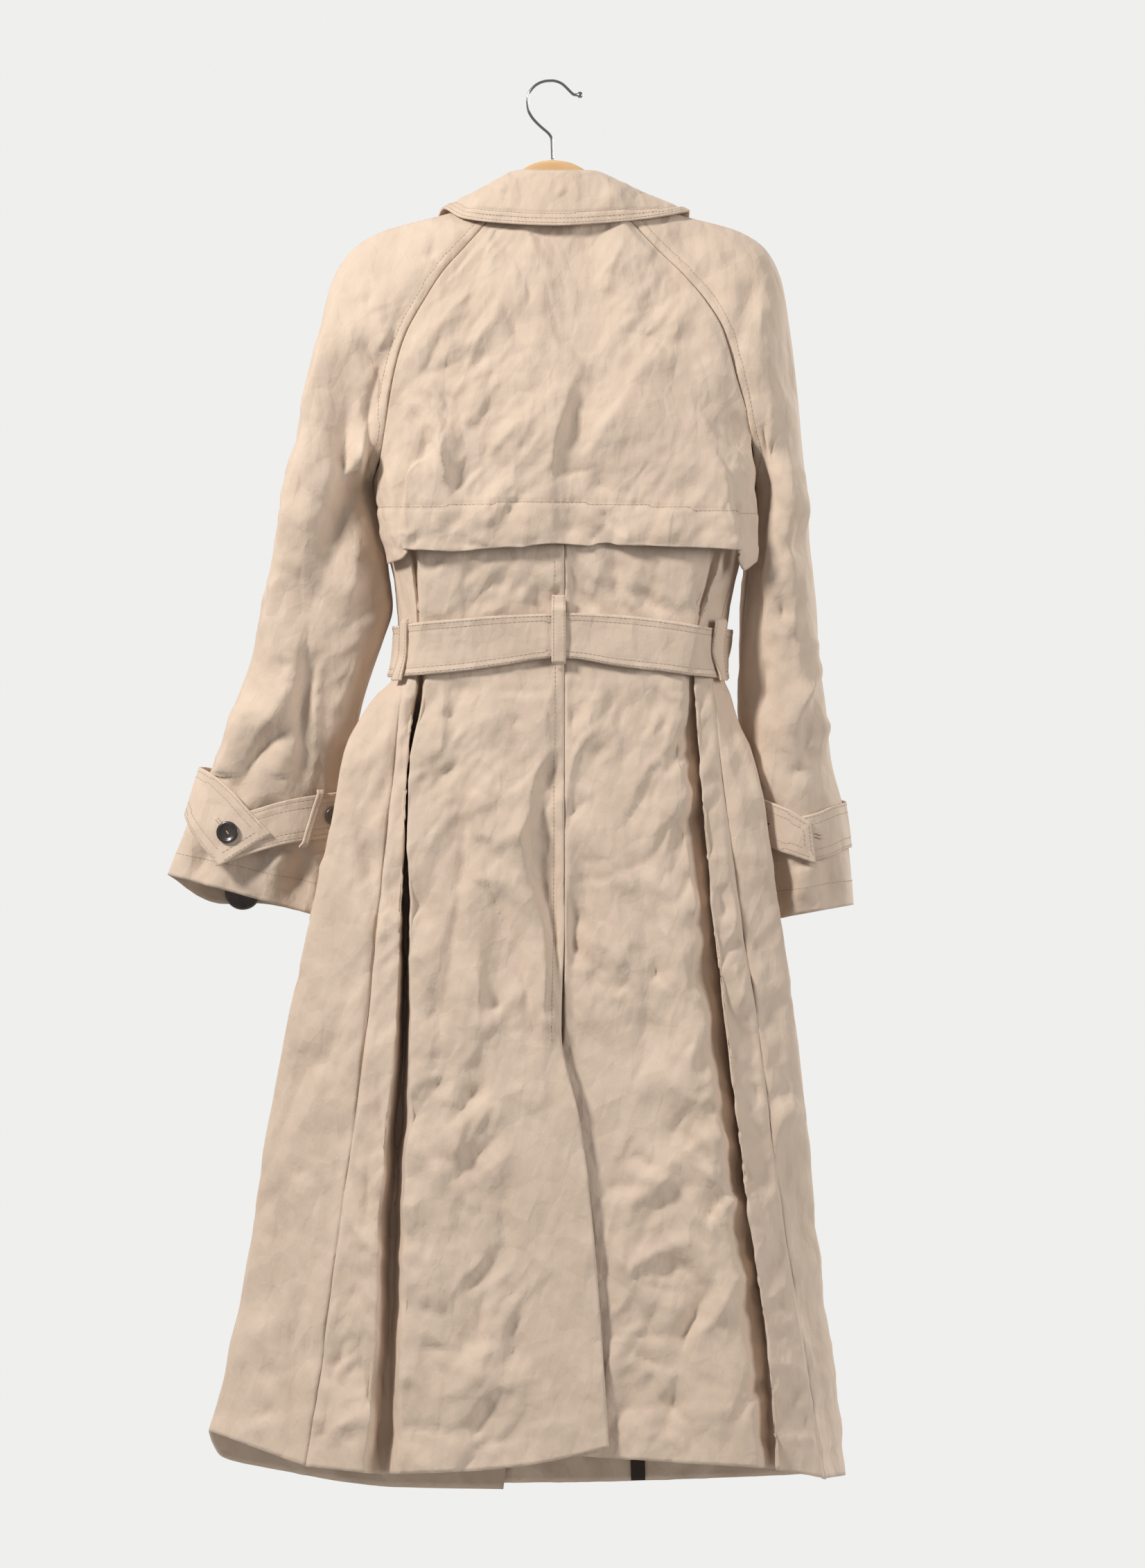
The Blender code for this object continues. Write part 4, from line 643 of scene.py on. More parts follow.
COLLAR_CREASES = (
    # form, reach to the left and right, depth, and its line of (x, drop)
    ("line", 4, 4, 1.5, ((-9, 83), (-16, 92), (-14, 103), (-21, 113))),
    ("line", 4, 4, 1.4, ((-1, 83), (2, 95), (-0, 106), (3, 115))),
    ("crest", 6, 6, 1.6, ((10, 87), (7, 101), (13, 107))),
    ("line", 5, 5, 1.3, ((29, 88), (18, 99), (7, 109), (-5, 115))),
    ("crest", 6, 7, 1.4, ((-36, 83), (-42, 92), (-49, 103))),
    ("line", 4, 4, 1.1, ((-55, 92), (-47, 99), (-36, 101))),
    ("crest", 7, 7, 1.2, ((48, 92), (58, 103), (69, 110))),
    ("line", 4, 4, 0.9, ((74, 97), (85, 106), (99, 111))),
    ("crest", 6, 6, 1.0, ((-71, 103), (-60, 109), (-52, 114))),
)


# ---------------------------------------------------------------------------
# Fine grids
# ---------------------------------------------------------------------------
def to_world(points):
    """From (x, y, drop) to metres, +Z up, opened by depth."""
    p = np.asarray(points, float)
    k = 1 + p[..., 1] / REACH
    return np.stack([(MIDDLE_X + (p[..., 0] - MIDDLE_X) * k), p[..., 1], -(MIDDLE_D + (p[..., 2] - MIDDLE_D) * k)], axis=-1) / 1000


def steps(sizes, pitch):
    """Positions along a line whose stretches have these sizes, about `pitch` apart."""
    at = [0.0]
    for i, size in enumerate(sizes):
        n = max(1, int(round(size / pitch)))
        at += [i + (k + 1) / n for k in range(n)]
    return np.array(at)


def along_rows(grid, at, knots=None):
    """Read a grid between its rows."""
    rows = grid.shape[0]
    knots = np.arange(rows) if knots is None else knots
    table = np.concatenate([np.asarray(knots, float)[:, None], grid.reshape(rows, -1)], axis=1)
    return curve(table, at).reshape(len(at), *grid.shape[1:])


def along_columns(grid, at):
    return along_rows(grid.transpose(1, 0, 2), at).transpose(1, 0, 2)


def fine(grid, pitch=None, knots=None):
    """The grid cut finer, both ways."""
    pitch = FINE if pitch is None else pitch
    across = np.linalg.norm(np.diff(grid, axis=1), axis=-1).max(axis=0)
    g = along_columns(grid, steps(across, pitch))
    if knots is None:
        down = np.linalg.norm(np.diff(grid, axis=0), axis=-1).max(axis=1)
        return along_rows(g, steps(down, pitch))
    n = int(round((knots[-1] - knots[0]) / pitch)) + 1
    return along_rows(g, np.linspace(knots[0], knots[-1], n), knots)


def arc(grid, axis):
    """How far each point is from the start of its row or column, along the cloth."""
    d = np.linalg.norm(np.diff(grid, axis=axis), axis=-1)
    zero = np.zeros_like(np.take(d, [0], axis=axis))
    return np.concatenate([zero, np.cumsum(d, axis=axis)], axis=axis)


def ease(x):
    x = np.clip(x, 0, 1)
    return x * x * (3 - 2 * x)


# ---------------------------------------------------------------------------
# Creases and crumples
# ---------------------------------------------------------------------------
def smooth_line(points, pitch=5.0):
    p = np.array(points, float)
    if len(p) == 2:
        p = np.array([p[0], (p[0] + p[1]) / 2, p[1]])
    s = np.concatenate([[0], np.cumsum(np.linalg.norm(np.diff(p, axis=0), axis=-1))])
    at = np.linspace(0, s[-1], max(4, int(s[-1] / pitch) + 1))
    # Catmull-Rom through the points, by arc length
    out = []
    for a in at:
        i = min(np.searchsorted(s, a, side="right") - 1, len(p) - 2)
        u = (a - s[i]) / (s[i + 1] - s[i])
        b, c = p[i], p[i + 1]
        ma = (p[i + 1] - p[i - 1]) / (s[i + 1] - s[i - 1]) if i > 0 else (c - b) / (s[i + 1] - s[i])
        mb = (p[i + 2] - p[i]) / (s[i + 2] - s[i]) if i + 2 < len(p) else (c - b) / (s[i + 1] - s[i])
        h = s[i + 1] - s[i]
        out.append((2 * u ** 3 - 3 * u * u + 1) * b + (u ** 3 - 2 * u * u + u) * h * ma + (3 * u * u - 2 * u ** 3) * c + (u ** 3 - u * u) * h * mb)
    return np.array(out)


SHARPNESS = {"crest": 1.05, "trough": 1.6, "line": 1.0}
SPREAD = {"crest": 1.55, "trough": 1.15, "line": 1.7}     # how far the flanks of each form run on


DEEPER = 2.6      # the tables give a crease's depth in calm cloth; the coat is well creased


def crease_field(x, drop, rows):
    """The height that a table of creases gives each place of a panel."""
    height = np.zeros(x.shape)
    for form, left, right, depth, points in rows:
        path = smooth_line(points)
        left, right = left * SPREAD[form], right * SPREAD[form]
        reach = 3.6 * max(left, right)
        lo, hi = path.min(axis=0) - reach, path.max(axis=0) + reach
        near = (x > lo[0]) & (x < hi[0]) & (drop > lo[1]) & (drop < hi[1])
        if not near.any():
            continue
        px, pd = x[near], drop[near]
        best = np.full(px.shape, 1e9)
        signed = np.zeros(px.shape)
        where = np.zeros(px.shape)
        n = len(path) - 1
        for i in range(n):
            a, b = path[i], path[i + 1]
            t = b - a
            length = max(np.hypot(*t), 1e-6)
            u = np.clip(((px - a[0]) * t[0] + (pd - a[1]) * t[1]) / length ** 2, 0, 1)
            dx, dd = px - a[0] - u * t[0], pd - a[1] - u * t[1]
            d = np.hypot(dx, dd)
            hit = d < best
            best = np.where(hit, d, best)
            signed = np.where(hit, np.sign(dx * t[1] - dd * t[0]), signed)
            where = np.where(hit, (i + u) / n, where)
        width = np.where(signed < 0, left, right)
        shape = np.exp(-((best / width) ** SHARPNESS[form]))
        taper = np.sin(math.pi * np.clip(0.03 + 0.94 * where, 0, 1)) ** 0.6
        wander = 1 + 0.22 * np.sin(where * 9.0 + points[0][0])
        # a fold turns up beside itself: a shallow counter-swell keeps the cloth's length
        counter = 0.12 * np.exp(-(((best - 2.4 * width) / (0.9 * width)) ** 2))
        height[near] += (1 if form == "crest" else -1) * DEEPER * depth * taper * wander * (shape - counter)
    return height


def lattice(ix, iy, seed):
    """A repeatable number from 0 to 1 for each corner of a lattice."""
    v = np.sin(ix * 127.1 + iy * 311.7 + seed * 74.7) * 43758.5453
    return v - np.floor(v)


def swell(u, v, seed):
    """Smooth gradient noise from about -1 to 1."""
    iu, iv = np.floor(u), np.floor(v)
    fu, fv = u - iu, v - iv
    total = 0
    for du in (0, 1):
        for dv in (0, 1):
            a = lattice(iu + du, iv + dv, seed) * 2 * math.pi
            g = np.cos(a) * (fu - du) + np.sin(a) * (fv - dv)
            wu = ease(fu) if du else 1 - ease(fu)
            wv = ease(fv) if dv else 1 - ease(fv)
            total = total + wu * wv * g
    return total * 1.5


def nearest(u, v, seed):
    """The square of the distance to the nearest of one random point a cell."""
    iu, iv = np.floor(u), np.floor(v)
    best = np.full(np.shape(u), 9.0)
    for du in (-1, 0, 1):
        for dv in (-1, 0, 1):
            cu = iu + du + lattice(iu + du, iv + dv, seed)
            cv = iv + dv + lattice(iu + du, iv + dv, seed + 5)
            best = np.minimum(best, (u - cu) ** 2 + (v - cv) ** 2)
    return best


def facets(u, v, seed):
    """Flat facets that meet in sharp ridges and valleys, as in crumpled cloth: about -0.5 to 0.5.
    Two bowled patterns are taken from each other, so that their curves cancel and their edges stay."""
    return nearest(u, v, seed) - nearest(u + 0.37, v + 0.61, seed + 20)


def crumple(x, drop, seed, coarse=1.0, small=1.0, lean=0.0):
    """Random crumples of a pressed cotton: long upright ones, and small ones between them. Patches of
    facets that lean left pass into patches that lean right."""
    u, v = x + lean * drop, drop
    wu = u + 9 * swell(u / 60, v / 90, seed + 11)
    wv = v + 12 * swell(u / 50, v / 70, seed + 12)
    h = 1.6 * coarse * swell(wu / 46, wv / 150, seed)
    share = ease(0.5 + 1.3 * swell(u / 105, v / 135, seed + 15))
    patch = 0.4 + 0.9 * ease(0.5 + 1.0 * swell(u / 110, v / 120, seed + 13))
    for slant, amount, more in ((0.62, share, 0), (-0.5, 1 - share, 60)):
        tu, tv = wu + slant * wv, wv - slant * 0.5 * wu
        h = h + amount * (coarse * 8.4 * facets(tu / 50, tv / 104, seed + 1 + more)
                          + small * patch * (3.7 * facets(tu / 23, tv / 52, seed + 2 + more) + 1.15 * facets(tu / 12, tv / 18, seed + 4 + more)))
    return h + small * 0.2 * swell(wu / 6, wv / 11, seed + 3)


def scattered(seed, count, box, lean=0.0, depth=1.5, longest=120):
    """Rows for crease_field: creases of uneven length, depth and spacing, for a side with no table of its own."""
    rng = np.random.default_rng(seed)
    rows = []
    for k in range(count):
        x, d = rng.uniform(box[0], box[1]), rng.uniform(box[2], box[3])
        length = rng.uniform(22, longest) * rng.uniform(0.5, 1)
        angle = rng.normal(lean, 0.42)
        bend = rng.uniform(-0.14, 0.14) * length
        form = ("crest", "line", "trough")[rng.integers(3)]
        sx, sd = math.sin(angle), math.cos(angle)
        ends = [(x - sx * length / 2, d - sd * length / 2), (x + sd * bend, d - sx * bend), (x + sx * length / 2, d + sd * length / 2)]
        rows.append((form, rng.uniform(4, 9), rng.uniform(4, 10), depth * rng.uniform(0.6, 1.3), ends))
    return rows


# ---------------------------------------------------------------------------
# Materials
# ---------------------------------------------------------------------------
def new_material(name, colour, rough, metallic=0.0, sheen=0.0, coat=0.0):
    m = bpy.data.materials.new(name)
    m.use_nodes = True
    shader = m.node_tree.nodes["Principled BSDF"]
    shader.inputs["Base Color"].default_value = (*colour, 1.0)
    shader.inputs["Roughness"].default_value = rough
    shader.inputs["Metallic"].default_value = metallic
    shader.inputs["Sheen Weight"].default_value = sheen
    shader.inputs["Sheen Roughness"].default_value = 0.5
    shader.inputs["Coat Weight"].default_value = coat
    shader.inputs["Coat Roughness"].default_value = 0.12
    m.diffuse_color = (*colour, 1.0)
    return m, m.node_tree.nodes, m.node_tree.links, shader


def noise(nodes, links, coords, scale, detail, rough, stretch=(1, 1, 1)):
    mapping = nodes.new("ShaderNodeMapping")
    mapping.inputs["Scale"].default_value = stretch
    links.new(coords.outputs["Object"], mapping.inputs["Vector"])
    n = nodes.new("ShaderNodeTexNoise")
    n.inputs["Scale"].default_value = scale
    n.inputs["Detail"].default_value = detail
    n.inputs["Roughness"].default_value = rough
    links.new(mapping.outputs["Vector"], n.inputs["Vector"])
    return n.outputs["Fac"]


def mixed(nodes, links, fac, low, high, colours, shader):
    ramp = nodes.new("ShaderNodeValToRGB")
    ramp.color_ramp.elements[0].position, ramp.color_ramp.elements[1].position = low, high
    ramp.color_ramp.elements[0].color = (*colours[0], 1)
    ramp.color_ramp.elements[1].color = (*colours[1], 1)
    links.new(fac, ramp.inputs["Fac"])
    links.new(ramp.outputs["Color"], shader.inputs["Base Color"])


def bumped(nodes, links, heights, shader):
    """Bumps one on another: (height socket, strength, distance)."""
    last = None
    for height, strength, distance in heights:
        b = nodes.new("ShaderNodeBump")
        b.inputs["Strength"].default_value = strength
        b.inputs["Distance"].default_value = distance
        links.new(height, b.inputs["Height"])
        if last is not None:
            links.new(last.outputs["Normal"], b.inputs["Normal"])
        last = b
    links.new(last.outputs["Normal"], shader.inputs["Normal"])


def facet_bump(nodes, links, coords, scale, stretch, slant):
    """Small flat facets with sharp edges: one bowled cell pattern taken from another."""
    fields = []
    for shift in ((0, 0, 0), (0.37, 0.2, 0.61)):
        mapping = nodes.new("ShaderNodeMapping")
        mapping.inputs["Scale"].default_value = [scale * k for k in stretch]
        mapping.inputs["Rotation"].default_value = (0, slant, 0)
        mapping.inputs["Location"].default_value = shift
        links.new(coords.outputs["Object"], mapping.inputs["Vector"])
        cells = nodes.new("ShaderNodeTexVoronoi")
        cells.inputs["Scale"].default_value = 1.0
        links.new(mapping.outputs["Vector"], cells.inputs["Vector"])
        square = nodes.new("ShaderNodeMath")
        square.operation = "POWER"
        square.inputs[1].default_value = 2.0
        links.new(cells.outputs["Distance"], square.inputs[0])
        fields.append(square.outputs[0])
    less = nodes.new("ShaderNodeMath")
    less.operation = "SUBTRACT"
    links.new(fields[0], less.inputs[0])
    links.new(fields[1], less.inputs[1])
    return less.outputs[0]


def cloth_material(name, low, high, weave=True):
    m, nodes, links, shader = new_material(name, low, 0.86, sheen=0.12)
    coords = nodes.new("ShaderNodeTexCoord")
    mixed(nodes, links, noise(nodes, links, coords, 16, 5, 0.62, (1, 1, 0.6)), 0.32, 0.68, (low, high), shader)
    heights = [
        (facet_bump(nodes, links, coords, 46, (1, 1, 0.55), 0.4), 0.5, 0.0036),
        (facet_bump(nodes, links, coords, 95, (1, 1, 0.6), -0.5), 0.4, 0.0015),
        (noise(nodes, links, coords, 70, 5, 0.66, (1, 1, 0.62)), 0.25, 0.0030),
        (noise(nodes, links, coords, 420, 3, 0.6), 0.16, 0.0008),
    ]
    bumped(nodes, links, heights, shader)
    return m


CLOTH_MATERIAL = cloth_material("coat cotton", (0.590, 0.458, 0.352), (0.650, 0.515, 0.404))
# the thread has the cloth's own colour; it is drawn darker as painted shade, for the small shadows along the stitched
# rows
SHADED_THREAD = new_material("coat thread with painted shade", (0.46, 0.35, 0.26), 0.8)[0]
TAPE = new_material("seam tape", (0.035, 0.022, 0.018), 0.85)[0]
CHROME = new_material("chrome", (0.42, 0.41, 0.40), 0.22, metallic=1.0)[0]


def wood_material():
    m, nodes, links, shader = new_material("hanger wood", (0.74, 0.51, 0.29), 0.42, coat=0.25)
    coords = nodes.new("ShaderNodeTexCoord")
    grain = noise(nodes, links, coords, 9, 6, 0.6, (0.8, 6, 7))
    mixed(nodes, links, grain, 0.36, 0.66, ((0.62, 0.385, 0.185), (0.80, 0.575, 0.335)), shader)
    bumped(nodes, links, [(grain, 0.08, 0.001)], shader)
    return m


def horn_material():
    m, nodes, links, shader = new_material("horn", (0.05, 0.04, 0.034), 0.28, coat=0.4)
    coords = nodes.new("ShaderNodeTexCoord")
    mixed(nodes, links, noise(nodes, links, coords, 60, 4, 0.6, (1, 1, 0.4)), 0.38, 0.72, ((0.030, 0.023, 0.020), (0.110, 0.085, 0.068)), shader)
    return m


WOOD, HORN = wood_material(), horn_material()
BOUNDS_ROOT = "root"


# ---------------------------------------------------------------------------
# Building
# ---------------------------------------------------------------------------
def put(name, points, faces, material, replaces=(), smooth=True, flat_faces=None):
    """A mesh from points in (x, y, drop) and an array of quads or a list of faces."""
    points = to_world(points)
    mesh = bpy.data.meshes.new(name)
    faces = [tuple(int(i) for i in f) for f in faces] if not isinstance(faces, np.ndarray) else faces
    if isinstance(faces, np.ndarray):
        mesh.vertices.add(len(points))
        mesh.vertices.foreach_set("co", points.astype(np.float32).ravel())
        count = faces.shape[1]
        mesh.loops.add(faces.size)
        mesh.loops.foreach_set("vertex_index", faces.astype(np.int32).ravel())
        mesh.polygons.add(len(faces))
        mesh.polygons.foreach_set("loop_start", np.arange(0, faces.size, count, dtype=np.int32))
        mesh.polygons.foreach_set("loop_total", np.full(len(faces), count, dtype=np.int32))
    else:
        mesh.from_pydata([tuple(p) for p in points], [], faces)
    flags = np.full(len(mesh.polygons), smooth, dtype=bool)
    if flat_faces is not None:
        flags[flat_faces:] = False
    mesh.polygons.foreach_set("use_smooth", flags)
    mesh.materials.append(material)
    mesh.update(calc_edges=True)
    mesh.validate()
    obj = bpy.data.objects.new(name, mesh)
    bpy.context.scene.collection.objects.link(obj)
    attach(obj, BOUNDS_ROOT)
    if replaces:
        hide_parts(*replaces)
    return obj


def tucked(grid, n, height, column, width=3.5, under=2.2):
    """The panel with its seam allowance: one more column past its first (0) or last (-1), tucked under its neighbour."""
    edge, before = grid[:, column], grid[:, 1 if column == 0 else -2]
    way = edge - before
    way /= np.maximum(np.linalg.norm(way, axis=-1, keepdims=True), 1e-9)
    more = edge + way * width - n[:, column] * under
    near = edge + way * 0.3 - n[:, column] * under * 0.8
    low = height[:, column]
    if column == 0:
        return (np.concatenate([more[:, None], near[:, None], grid], axis=1), np.concatenate([n[:, :1], n[:, :1], n], axis=1),
                np.concatenate([low[:, None], low[:, None], height], axis=1))
    return (np.concatenate([grid, near[:, None], more[:, None]], axis=1), np.concatenate([n, n[:, -1:], n[:, -1:]], axis=1),
            np.concatenate([height, low[:, None], low[:, None]], axis=1))


def shell_faces(rows, cols, flip):
    r, c = np.meshgrid(np.arange(rows - 1), np.arange(cols - 1), indexing="ij")
    a = (r * cols + c).ravel()
    quad = np.stack([a, a + 1, a + cols + 1, a + cols], axis=1)
    inner = quad[:, ::-1] + rows * cols
    rim = np.concatenate([
        np.arange(cols), cols * np.arange(1, rows) + cols - 1,
        (rows - 1) * cols + np.arange(cols - 2, -1, -1), cols * np.arange(rows - 2, 0, -1),
    ])
    after = np.roll(rim, -1)
    side = np.stack([rim, rim + rows * cols, after + rows * cols, after], axis=1)
    faces = np.concatenate([quad, inner, side])
    return faces[:, ::-1] if flip else faces


def cloth(name, grid, n, height=0.0, out=0.0, thick=CLOTH, node=None, flat=None, material=None):
    """A thin wall on the grid: moved out along its normals by `out` and the crease height, `thick` deep behind."""
    height = np.broadcast_to(np.asarray(height, float), grid.shape[:2])
    outer = grid + n * (np.asarray(out, float)[..., None] if np.ndim(out) else out) + n * height[..., None]
    real = normals(outer, lambda g: n)
    inner = outer - real * thick
    rows, cols = grid.shape[:2]
    over = np.cross(np.diff(outer, axis=1)[:-1], np.diff(outer, axis=0)[:, :-1])
    flip = (over * n[:-1, :-1]).sum() > 0
    # (x, y, drop) is left-handed against (x, y, z), which turns each face round once more
    faces = shell_faces(rows, cols, flip)
    quads = 2 * (rows - 1) * (cols - 1)
    obj = put(name, np.concatenate([outer.reshape(-1, 3), inner.reshape(-1, 3)]), faces, material or CLOTH_MATERIAL, [node or name], flat_faces=quads)
    w = to_world(grid)
    wide = np.linalg.norm(np.diff(w, axis=1), axis=-1).sum(axis=1)
    tall = np.linalg.norm(np.diff(w, axis=0), axis=-1).sum(axis=0)
    a, b = np.diff(w, axis=1), np.diff(w, axis=0)
    area = float(np.linalg.norm(np.cross(a[:-1], b[:, :-1]), axis=-1).sum())
    width, length = float(np.percentile(wide, 98)), float(np.percentile(tall, 98))
    area = min(max(area, 0.31 * width * length), width * length)
    CUTS.append((name, width, length, area))
    width = max(width, 0.0102)       # at least 10.2 mm
    return outer, real


CUTS = []


def dashes(points, ways, length=2.7, gap=1.3, width=0.75, proud=0.42):
    """Stitches along a line lying on cloth: a list of (corner points) for small raised bars."""
    p = np.asarray(points, float)
    s = np.concatenate([[0], np.cumsum(np.linalg.norm(np.diff(p, axis=0), axis=-1))])
    starts = np.arange(0.6, s[-1] - length, length + gap)
    read = lambda at, v: np.stack([np.interp(at, s, v[:, k]) for k in range(3)], axis=-1)
    a, b = read(starts, p), read(starts + length, p)
    n = read(starts + length / 2, np.asarray(ways, float))
    n /= np.linalg.norm(n, axis=-1, keepdims=True)
    t = b - a
    t /= np.maximum(np.linalg.norm(t, axis=-1, keepdims=True), 1e-9)
    side = np.cross(n, t) * width / 2
    up, down = n * proud, -n * 0.25
    box = np.stack([a - side + down, a + side + down, b + side + down, b - side + down, a - side * 0.6 + up * 0.8, a + side * 0.6 + up * 0.8, b + side * 0.6 + up * 0.8, b - side * 0.6 + up * 0.8], axis=1)
    STITCHES.append(box)


STITCHES = []
BACK, FRONT = (0, -1, 0), (0, 1, 0)
backs = {side: back_lines(side) for side in ("left", "right")}
fronts = {side: front_lines(side) for side in ("left", "right")}


def row_knots(lines):
    """A steady measure down a panel's rows: the mean drop of each."""
    return lines[..., 2].mean(axis=1)


def strap_line(grid, n, column):
    return grid[:, column], n[:, column]


# --- the two backs and the two fronts ----------------------------------------
WAIST_BAND = (468, 482, 532, 546)     # drops over which the cloth lies calm under the belt


def calm(drop, band, least):
    """1 away from a band of drops, and `least` inside it."""
    a, b, c, d = band
    inside = ease((drop - a) / (b - a)) * (1 - ease((drop - c) / (d - c)))
    return 1 - (1 - least) * inside


body = {}
for side in ("left", "right"):
    for face, lines, facing in (("back", backs, BACK), ("front", fronts, FRONT)):
        whole = lines[side]
        halves_at = (0, 0.5, 1, 1.5, 2, 2.5, 3, 4, 5, 5.5, 6) if face == "back" else (0, 1, 2, 3, 4, 5)
        plan = np.stack([curve(np.concatenate([np.arange(whole.shape[1])[:, None], row], axis=1), halves_at) for row in whole])
        g = fine(plan, FINE if face == "back" else FINE * 1.35, row_knots(whole))
        n = normals(g, facing)
        for _ in range(2):    # a little smoother, so that a fold's edge stays whole
            m = n.copy()
            m[1:-1] += n[:-2] + n[2:]
            m[:, 1:-1] += n[:, :-2] + n[:, 2:]
            n = m / np.linalg.norm(m, axis=-1, keepdims=True)
        body[side, face] = (g, n)

for side in ("left", "right"):
    (gb, nb), (gf, nf) = body[side, "back"], body[side, "front"]
    # below the armpit the side seam's two edges share their normals
    armpit = float(row_knots(backs[side])[ARMPIT])
    low_b = np.linspace(0, 1, gb.shape[0])
    low_f = np.linspace(0, 1, gf.shape[0])
    nb_edge, nf_edge = nb[:, -1].copy(), nf[:, 0].copy()
    f_on_b = np.stack([np.interp(low_b, low_f, nf_edge[:, k]) for k in range(3)], axis=-1)
    b_on_f = np.stack([np.interp(low_f, low_b, nb_edge[:, k]) for k in range(3)], axis=-1)
    for edge, other, rows in ((nb_edge, f_on_b, gb[:, -1, 2]), (nf_edge, b_on_f, gf[:, 0, 2])):
        below = ease((rows - armpit) / 12)[:, None]
        edge += other * below
        edge /= np.linalg.norm(edge, axis=-1, keepdims=True)
    nb[:, -1], nf[:, 0] = nb_edge, nf_edge


armpit_drop = {side: float(row_knots(backs[side])[ARMPIT]) for side in ("left", "right")}


def seam_groove(distance):
    """The small dip at a seam, with the swell of its allowance beside it."""
    return -0.7 * np.exp(-((distance / 1.5) ** 2)) + 0.35 * np.exp(-(((distance - 5.0) / 3.6) ** 2))


for side in ("left", "right"):
    # back
    g, n = body[side, "back"]
    x, y, drop = g[..., 0], g[..., 1], g[..., 2]
    from_centre, from_side = arc(g, 1), arc(g[:, ::-1], 1)[:, ::-1]
    seen = ease((-n[..., 1] - 0.15) / 0.45)
    h = crease_field(x, drop, BODY_CREASES) * seen
    h += crumple(x, drop, 3 if side == "left" else 4, coarse=1.0, small=1.25, lean=0.08 if side == "left" else -0.1) * (0.35 + 0.65 * seen)
    h *= ease(from_side / 9) * 0.8 + 0.2
    above_vent = 1 - ease((drop - 835) / 30)
    h *= 1 - (1 - (ease(from_centre / 8) * 0.85 + 0.15)) * above_vent
    h *= calm(drop, WAIST_BAND, 0.12)
    under_flap = 1 - ease((drop - 418) / 18)
    h = h * (1 - 0.9 * under_flap) - 2.2 * (1 - ease((drop - 400) / 14)) * ease(from_side / 16) * ease((drop - 150) / 50)
    h = np.where(drop < 560, np.minimum(h, 1.6 + 6 * ease((drop - 545) / 12)), h)
    h *= 1 - 0.35 * ease((drop - (drop.max(axis=0) - 26)[None, :]) / 10)      # the turned-up hem lies flatter
    h += seam_groove(from_side)
    h += seam_groove(from_centre) * above_vent * (1 - under_flap * 0.6)
    near_vent = (1 - ease((from_centre - 62) / 22)) * ease((drop - 838) / 24)
    h = h * (1 - near_vent) + near_vent * (np.minimum(h * 0.45, 0) - 1.6 if side == "right" else np.maximum(h * 0.5, 0) + 0.6)
    # the turned hem's upper edge, a faint step
    up = drop.max(axis=0)[None, :] - drop
    h += 0.35 * (1 - ease((up - 33) / 3))
    grid, n_t, h_t = tucked(g, n, h, -1)
    outer, real = cloth("back_" + side, grid, n_t, h_t)
    outer, real = outer[:, :-2], real[:, :-2]
    body[side, "back"] = (g, n, outer, real)
    # topstitching left of the centre seam
    column = lambda d: int(np.argmin(abs(from_centre[g.shape[0] // 2] - d)))
    if side == "left":
        c = column(9.5)
        rows = (drop[:, c] > 424) & (drop[:, c] < 860)
        dashes(outer[rows, c], real[rows, c])

    # front
    g, n = body[side, "front"][:2]
    x, y, drop = g[..., 0], g[..., 1], g[..., 2]
    from_side, from_edge = arc(g, 1), arc(g[:, ::-1], 1)[:, ::-1]
    sign = -1 if side == "left" else 1
    seen = ease((n[..., 1] + 0.1) / 0.4)
    low = scattered(21 if side == "left" else 22, 46, (min(x.min(), x.max()), x.max(), 540, 1240), 0.10 * sign, 1.7, 170)
    top = scattered(31 if side == "left" else 32, 18, (x.min(), x.max(), 160, 470), -0.25 * sign, 1.2, 90)
    h = crease_field(x, drop, low + top) * seen + crease_field(x, drop, BODY_CREASES) * ease((-n[..., 1] - 0.1) / 0.4)
    h += crumple(x, drop, 7 if side == "left" else 8, coarse=0.9, small=0.85, lean=0.1 * sign)
    h *= ease(from_side / 9) * 0.8 + 0.2
    h *= ease(from_edge / 12) * 0.65 + 0.35
    h *= 0.4 + 0.6 * np.minimum(1, 1.5 * abs(n[..., 1]))
    h *= calm(drop, WAIST_BAND, 0.12)
    lapel = (1 - ease((drop - 300) / 60)) * (1 - ease((from_edge - 90) / 30))
    h *= 1 - 0.88 * lapel
    if side == "left":       # it lies under the right front
        h = h * (1 - 0.6 * (1 - ease((from_edge - 110) / 40)))
    buttons_near = np.zeros_like(h)
    if side == "right":
        for bx in (-46, 66):
            for bd in (366, 436, 612):
                buttons_near = np.maximum(buttons_near, np.exp(-(((x - bx) / 22) ** 2 + ((drop - bd) / 22) ** 2)))
    h *= 1 - buttons_near * 0.97
    h = np.where(drop < 560, np.minimum(h, 1.6 + 6 * ease((drop - 545) / 12)), h)
    if side == "right":      # clear of the tape behind it
        lines = np.stack([curve(np.concatenate([np.arange(6)[:, None], row], axis=1), (0, 1, 2, 3, 4, 5)) for row in fronts["right"]])
        tape_line = between(lines[16:], np.array([3.82]))[:, 0]
        near_tape = 1 - ease((abs(x - np.interp(drop, tape_line[:, 2], tape_line[:, 0])) - 13) / 12)
        near_tape = near_tape * ease((drop - tape_line[0, 2] + 20) / 30)
        h = h * (1 - near_tape) + near_tape * np.maximum(h * 0.4, 0)
    h += seam_groove(from_side)
    raglan_part = drop[:, 0] < armpit_drop[side]
    grid = g.copy()
    grid[raglan_part, 0] -= n[raglan_part, 0] * 0.6
    outer, real = cloth("front_" + side, grid, n, h)
    body[side, "front"] = (g, n, outer, real)
    c = int(np.argmin(abs(from_edge[g.shape[0] * 2 // 3] - 8)))
    rows = drop[:, c] > (380 if side == "right" else 340)
    dashes(outer[rows, c], real[rows, c], length=3.2, gap=1.4)

